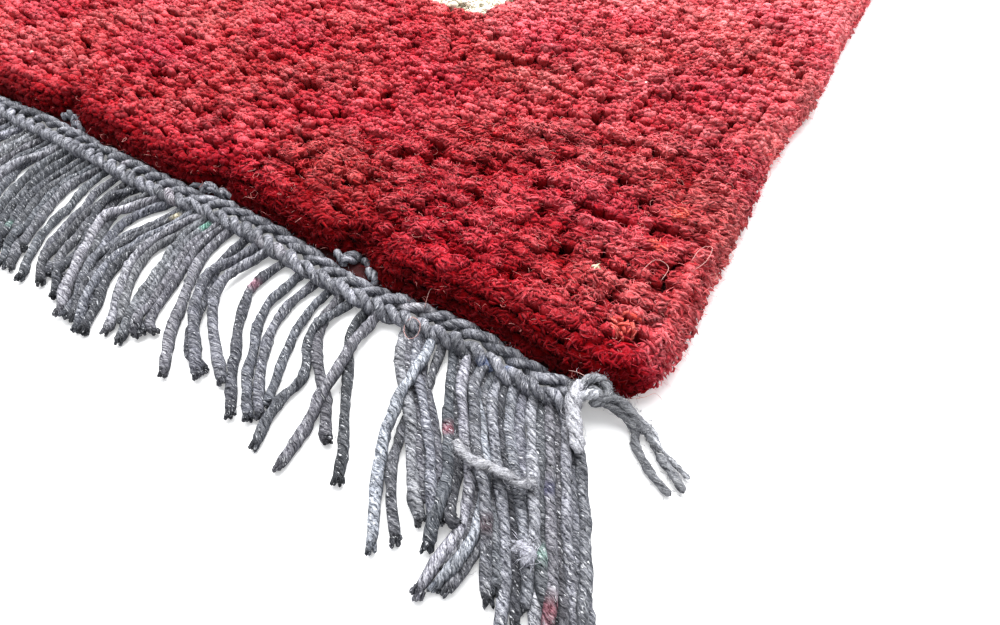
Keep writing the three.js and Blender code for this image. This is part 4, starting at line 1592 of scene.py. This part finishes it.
    def add_splayed_tips(self, copies: JoinedCopies, points: np.ndarray, dye: np.ndarray,
                         rng: np.random.Generator) -> None:
        """Adds the cut plies that splay at each strand's tip."""
        stub = Unit(4, [Ring(0.3, 0.55), Ring(0.85, 0.5)])
        tip, before = (np.repeat(points[:, end], self.stubs_a_tip, 0) for end in (-1, -3))
        ahead = normalised(tip - before)
        count = len(tip)
        spread = rng.normal(0, 1, (count, 3))
        spread = normalised(spread - ahead * (spread * ahead).sum(1, keepdims=True))
        reach = rng.uniform(0.4, 1.7, count)[:, None]
        start = tip - ahead * 2.0 + spread * reach * 0.5
        end = tip + ahead * rng.uniform(0.2, 1.5, count)[:, None] + spread * reach
        end[:, 2] = np.maximum(end[:, 2], 0.5)
        knee = (start + end) / 2 + spread * 0.3
        shade = np.repeat(dye, self.stubs_a_tip, 0) * rng.uniform(0.25, 0.9, count)[:, None]
        copies.add(stub, bent(start, knee, end, stub.along), shade, rng, turn=rng.uniform(0, math.tau, count))


@dataclass(frozen=True)
class LooseYarn:
    """A loose length of soft yarn: how thick, tapered and flat it is, its colour and its points."""

    radius: float
    taper: float
    flat: float
    dye: tuple
    points: tuple
    hairs_per_mm: float = 5.0

    def add_to(self, copies: JoinedCopies, end: End, rng: np.random.Generator) -> None:
        """Adds the yarn and its stray fibres to a mesh.

        Args:
            copies: The mesh.
            end: The end that it lies at. Its points are for the near one, turned half round for the far one.
            rng: Where the unevenness comes from.
        """
        route = (np.array(self.points, float) * (-end.value, -end.value, 1))[None]
        length = np.linalg.norm(np.diff(route[0], axis=0), axis=1).sum()
        count = max(int(length / 0.7), 8)
        share = (np.arange(count) + 1) / (count + 1)
        phase = rng.uniform(0, math.tau)
        tapered = 1 - self.taper * np.abs(2 * share - 1) ** 2.5
        size = tapered * (1 + 0.1 * np.sin(share * length * 1.1 + phase))
        unit = Unit(10, [Ring(at, self.radius * part) for at, part in zip(share, size)])
        dye = np.array(self.dye, float)[None]
        copies.add(unit, threaded(route, unit.along), dye, rng, depth=self.flat, unevenness=0.1,
                   side=(1, 0, 0.1), lit=Lit.UPWARDS)
        if end is End.NEAR:
            hairs = int(length * self.hairs_per_mm)
            copies.add_hairs(threaded(route, np.linspace(0, 1, count)), self.radius, hairs, dye, rng)


def grey_dye(value: float) -> tuple:
    """Gives the light, slightly cool grey of loose yarn at a brightness."""
    return (value * 0.98, value, value * 1.07)


@dataclass
class CornerTie:
    """The knotted ends of the twining yarn at one corner, with the free ends that show."""

    end: End
    yarns: tuple = (
        LooseYarn(1.35, 0.3, 1.0, grey_dye(0.24), (
            (287, -446.6, 5.0), (289.5, -445.5, 7.6), (292.2, -446.4, 7.0), (295.6, -444.2, 5.6),
            (299.8, -444.3, 3.8), (303.0, -446.2, 2.2), (306.0, -446.2, 1.7), (308.9, -448.8, 1.5),
            (312.8, -452.0, 1.4), (315.7, -453.8, 1.4), (319.1, -456.6, 1.3))),
        LooseYarn(1.15, 0.3, 1.0, grey_dye(0.2), (
            (291.0, -447.6, 6.2), (294.0, -446.6, 5.2), (298.5, -446.0, 3.4), (302.6, -447.4, 1.6),
            (304.0, -450.6, 1.2), (308.4, -454.4, 1.2), (312.9, -457.2, 1.2), (316.8, -458.6, 1.1))),
        LooseYarn(0.8, 0.5, 1.0, grey_dye(0.42), (
            (300.6, -443.8, 3.6), (303.5, -444.6, 2.8), (306.2, -445.6, 2.6), (309.4, -448.9, 2.4),
            (312.2, -450.0, 1.5), (315.2, -450.8, 1.1), (317.4, -451.7, 1.0), (319.0, -452.2, 0.9))),
        LooseYarn(1.3, 0.2, 1.0, grey_dye(0.34), (
            (286.2, -447.6, 6.0), (286.4, -446.2, 7.5), (287.2, -444.2, 8.6), (288.9, -442.9, 9.0),
            (291.1, -442.6, 8.4), (292.9, -444.3, 7.2), (292.2, -447.2, 6.0), (289.5, -448.6, 5.4))),
        LooseYarn(1.4, 0.3, 0.85, grey_dye(0.52), (
            (287.2, -451.2, 6.0), (287.7, -449.5, 7.6), (289.1, -448.4, 8.2), (290.6, -446.6, 7.6),
            (293.0, -445.6, 6.0))),
        LooseYarn(1.2, 0.3, 1.0, grey_dye(0.13), (
            (287.3, -444.0, 5.0), (290.5, -443.0, 6.2), (293.4, -443.9, 6.0), (296.2, -445.0, 4.2))),
        LooseYarn(1.2, 0.3, 1.0, grey_dye(0.2), (
            (285.0, -449.0, 4.0), (284.0, -446.4, 5.6), (285.4, -444.2, 6.4))),
        LooseYarn(2.0, 0.4, 0.55, (0.5, 0.5, 0.54), (
            (285.6, -444.6, 7.8), (285.9, -449.2, 7.9), (287.6, -453.6, 7.0), (290.2, -457.4, 6.6),
            (292.3, -460.2, 6.2), (294.6, -463, 5.8))),
        LooseYarn(0.2, 0.3, 1.0, grey_dye(0.5), (
            (286.6, -446.2, 8.2), (284.9, -447.6, 8.2), (284.3, -450.4, 7.6), (285.4, -453.0, 6.8),
            (288.2, -454.7, 6.4)), 0.5),
    )

    def build(self, material: bpy.types.Material) -> bpy.types.Object:
        """Makes the knot and its free ends."""
        rng = np.random.default_rng(51)
        copies = JoinedCopies(f"tied_corner_{self.end.name.lower()}")
        for yarn in self.yarns:
            yarn.add_to(copies, self.end, rng)
        return copies.build(material, "tie_yarn")


@dataclass
class StrayBits:
    """The bits of pale unspun wool that lie over the near fringe."""

    yarns: tuple = (
        LooseYarn(1.45, 0.25, 0.8, (0.42, 0.42, 0.45), (
            (267.6, -475.8, 6.0), (269.7, -477.0, 6.6), (273.5, -478.3, 6.8), (278.3, -477.7, 6.8),
            (282.7, -477.3, 6.8), (286.7, -477.2, 6.6), (289.9, -474.8, 6.0)), 8.0),
        LooseYarn(1.5, 0.4, 0.6, (0.55, 0.55, 0.62), (
            (292.8, -488.5, 6.0), (295.1, -489.3, 6.4), (297.0, -490.1, 6.2), (295.9, -492.3, 5.9)), 12.0),
        LooseYarn(0.9, 0.5, 0.7, (0.5, 0.5, 0.56), (
            (292.6, -490.9, 5.9), (294.6, -489.6, 6.5), (296.4, -488.0, 6.1)), 12.0),
        LooseYarn(0.7, 0.4, 0.8, (0.3, 0.3, 0.33), (
            (285.7, -478.9, 6.2), (287.8, -476.9, 7.0), (290.6, -475.7, 6.2)), 8.0),
    )

    def build(self, material: bpy.types.Material) -> bpy.types.Object:
        """Makes the bits."""
        rng = np.random.default_rng(61)
        copies = JoinedCopies("stray_bits")
        for yarn in self.yarns:
            yarn.add_to(copies, End.NEAR, rng)
        return copies.build(material, "grey_wool")


@dataclass
class Studio:
    """The plain pale floor and the plain soft light."""

    floor_size: float = 12.0
    floor_colour: tuple = (0.93, 0.935, 0.94)
    floor_glow: float = 0.3
    sky_strength: float = 0.62
    sun_strength: float = 4.2
    sun_spread: float = 65.0
    # the angle of the light above the floor, and round from the far end towards the right side
    sun_height: float = 57.0
    sun_side: float = -35.0
    # a wide lamp over the field, so that the light falls off towards the corner: its place, size and power
    lamp_place: tuple = (50.0, 60.0, 420.0)
    lamp_size: float = 400.0
    lamp_power: float = 7.1

    def build(self) -> None:
        """Makes the floor, the light and the pale surroundings."""
        deselect_all()
        bpy.ops.mesh.primitive_grid_add(x_subdivisions=8, y_subdivisions=8, size=self.floor_size,
                                        location=(0, 0, -0.0002))
        floor = bpy.context.object
        floor.name = "floor"
        material = bpy.data.materials.new("pale_floor")
        material.use_nodes = True
        web = Web(material.node_tree)
        place = web.add("ShaderNodeTexCoord").outputs["Object"]
        patches = web.noise(place, 3.0, 2)
        colour = web.mixed(patches, (*self.floor_colour, 1), (0.95, 0.95, 0.955, 1))
        shader = web.add("ShaderNodeBsdfPrincipled", {
            "Base Color": colour, "Roughness": 0.9, "Specular IOR Level": 0.1,
            "Emission Color": (1.0, 1.0, 1.0, 1.0), "Emission Strength": self.floor_glow,
        })
        web.add("ShaderNodeOutputMaterial", {0: shader.outputs[0]})
        floor.data.materials.append(material)
        world = bpy.data.worlds.new("surroundings")
        world.use_nodes = True
        sky = Web(world.node_tree)
        glow = sky.add("ShaderNodeBackground", {"Color": (0.97, 0.98, 1, 1), "Strength": self.sky_strength})
        sky.add("ShaderNodeOutputWorld", {0: glow.outputs[0]})
        bpy.context.scene.world = world
        sun = bpy.data.lights.new("soft_light", "SUN")
        sun.energy, sun.angle = self.sun_strength, math.radians(self.sun_spread)
        lamp = bpy.data.objects.new("soft_light", sun)
        height, side = math.radians(self.sun_height), math.radians(self.sun_side)
        level = math.cos(height)
        toward = Vector((math.sin(side) * level, math.cos(side) * level, math.sin(height)))
        lamp.rotation_mode = "QUATERNION"
        lamp.rotation_quaternion = toward.to_track_quat("Z", "Y")
        bpy.context.scene.collection.objects.link(lamp)
        wide = bpy.data.lights.new("wide_lamp", "AREA")
        wide.energy, wide.size = self.lamp_power, self.lamp_size * MM
        above = bpy.data.objects.new("wide_lamp", wide)
        above.location = Vector(self.lamp_place) * MM
        above.visible_camera = False
        bpy.context.scene.collection.objects.link(above)
        bpy.context.scene.view_settings.view_transform = "Standard"


def main() -> None:
    """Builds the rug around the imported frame, sub-assembly by sub-assembly."""
    logging.basicConfig(level=logging.INFO, format="%(name)s: %(message)s")
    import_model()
    shape, cream, camera = RugShape(), CreamLine(), CameraPlace()
    camera.build()
    Studio().build()
    red, grey, light = PILE_WOOL.build(), FRINGE_WOOL.build(), TIE_WOOL.build()
    edge_grey = EDGE_WOOL.build()
    ground = WovenGround(shape, cream).build(GROUND_WOOL.build())
    pile = KnottedPile(shape, cream, camera).build(red)
    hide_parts("knotted_field")
    for piece in pile:
        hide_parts("knotted_field")
    near_fringe, far_fringe = Fringe(shape, camera).build(grey)
    edges = {end: TwinedEdge(shape, end).build(edge_grey) for end in End}
    ties = {end: CornerTie(end).build(light) for end in End}
    bits = StrayBits().build(light)
    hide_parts("fringe_near")
    for end, strands in ((End.NEAR, near_fringe), (End.FAR, far_fringe)):
        side = end.name.lower()
        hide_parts(f"fringe_{side}")
        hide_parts(f"fringe_{side}")
        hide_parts(f"corner_tie_{side}")
    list(pile)


if __name__ == "__main__":
    main()
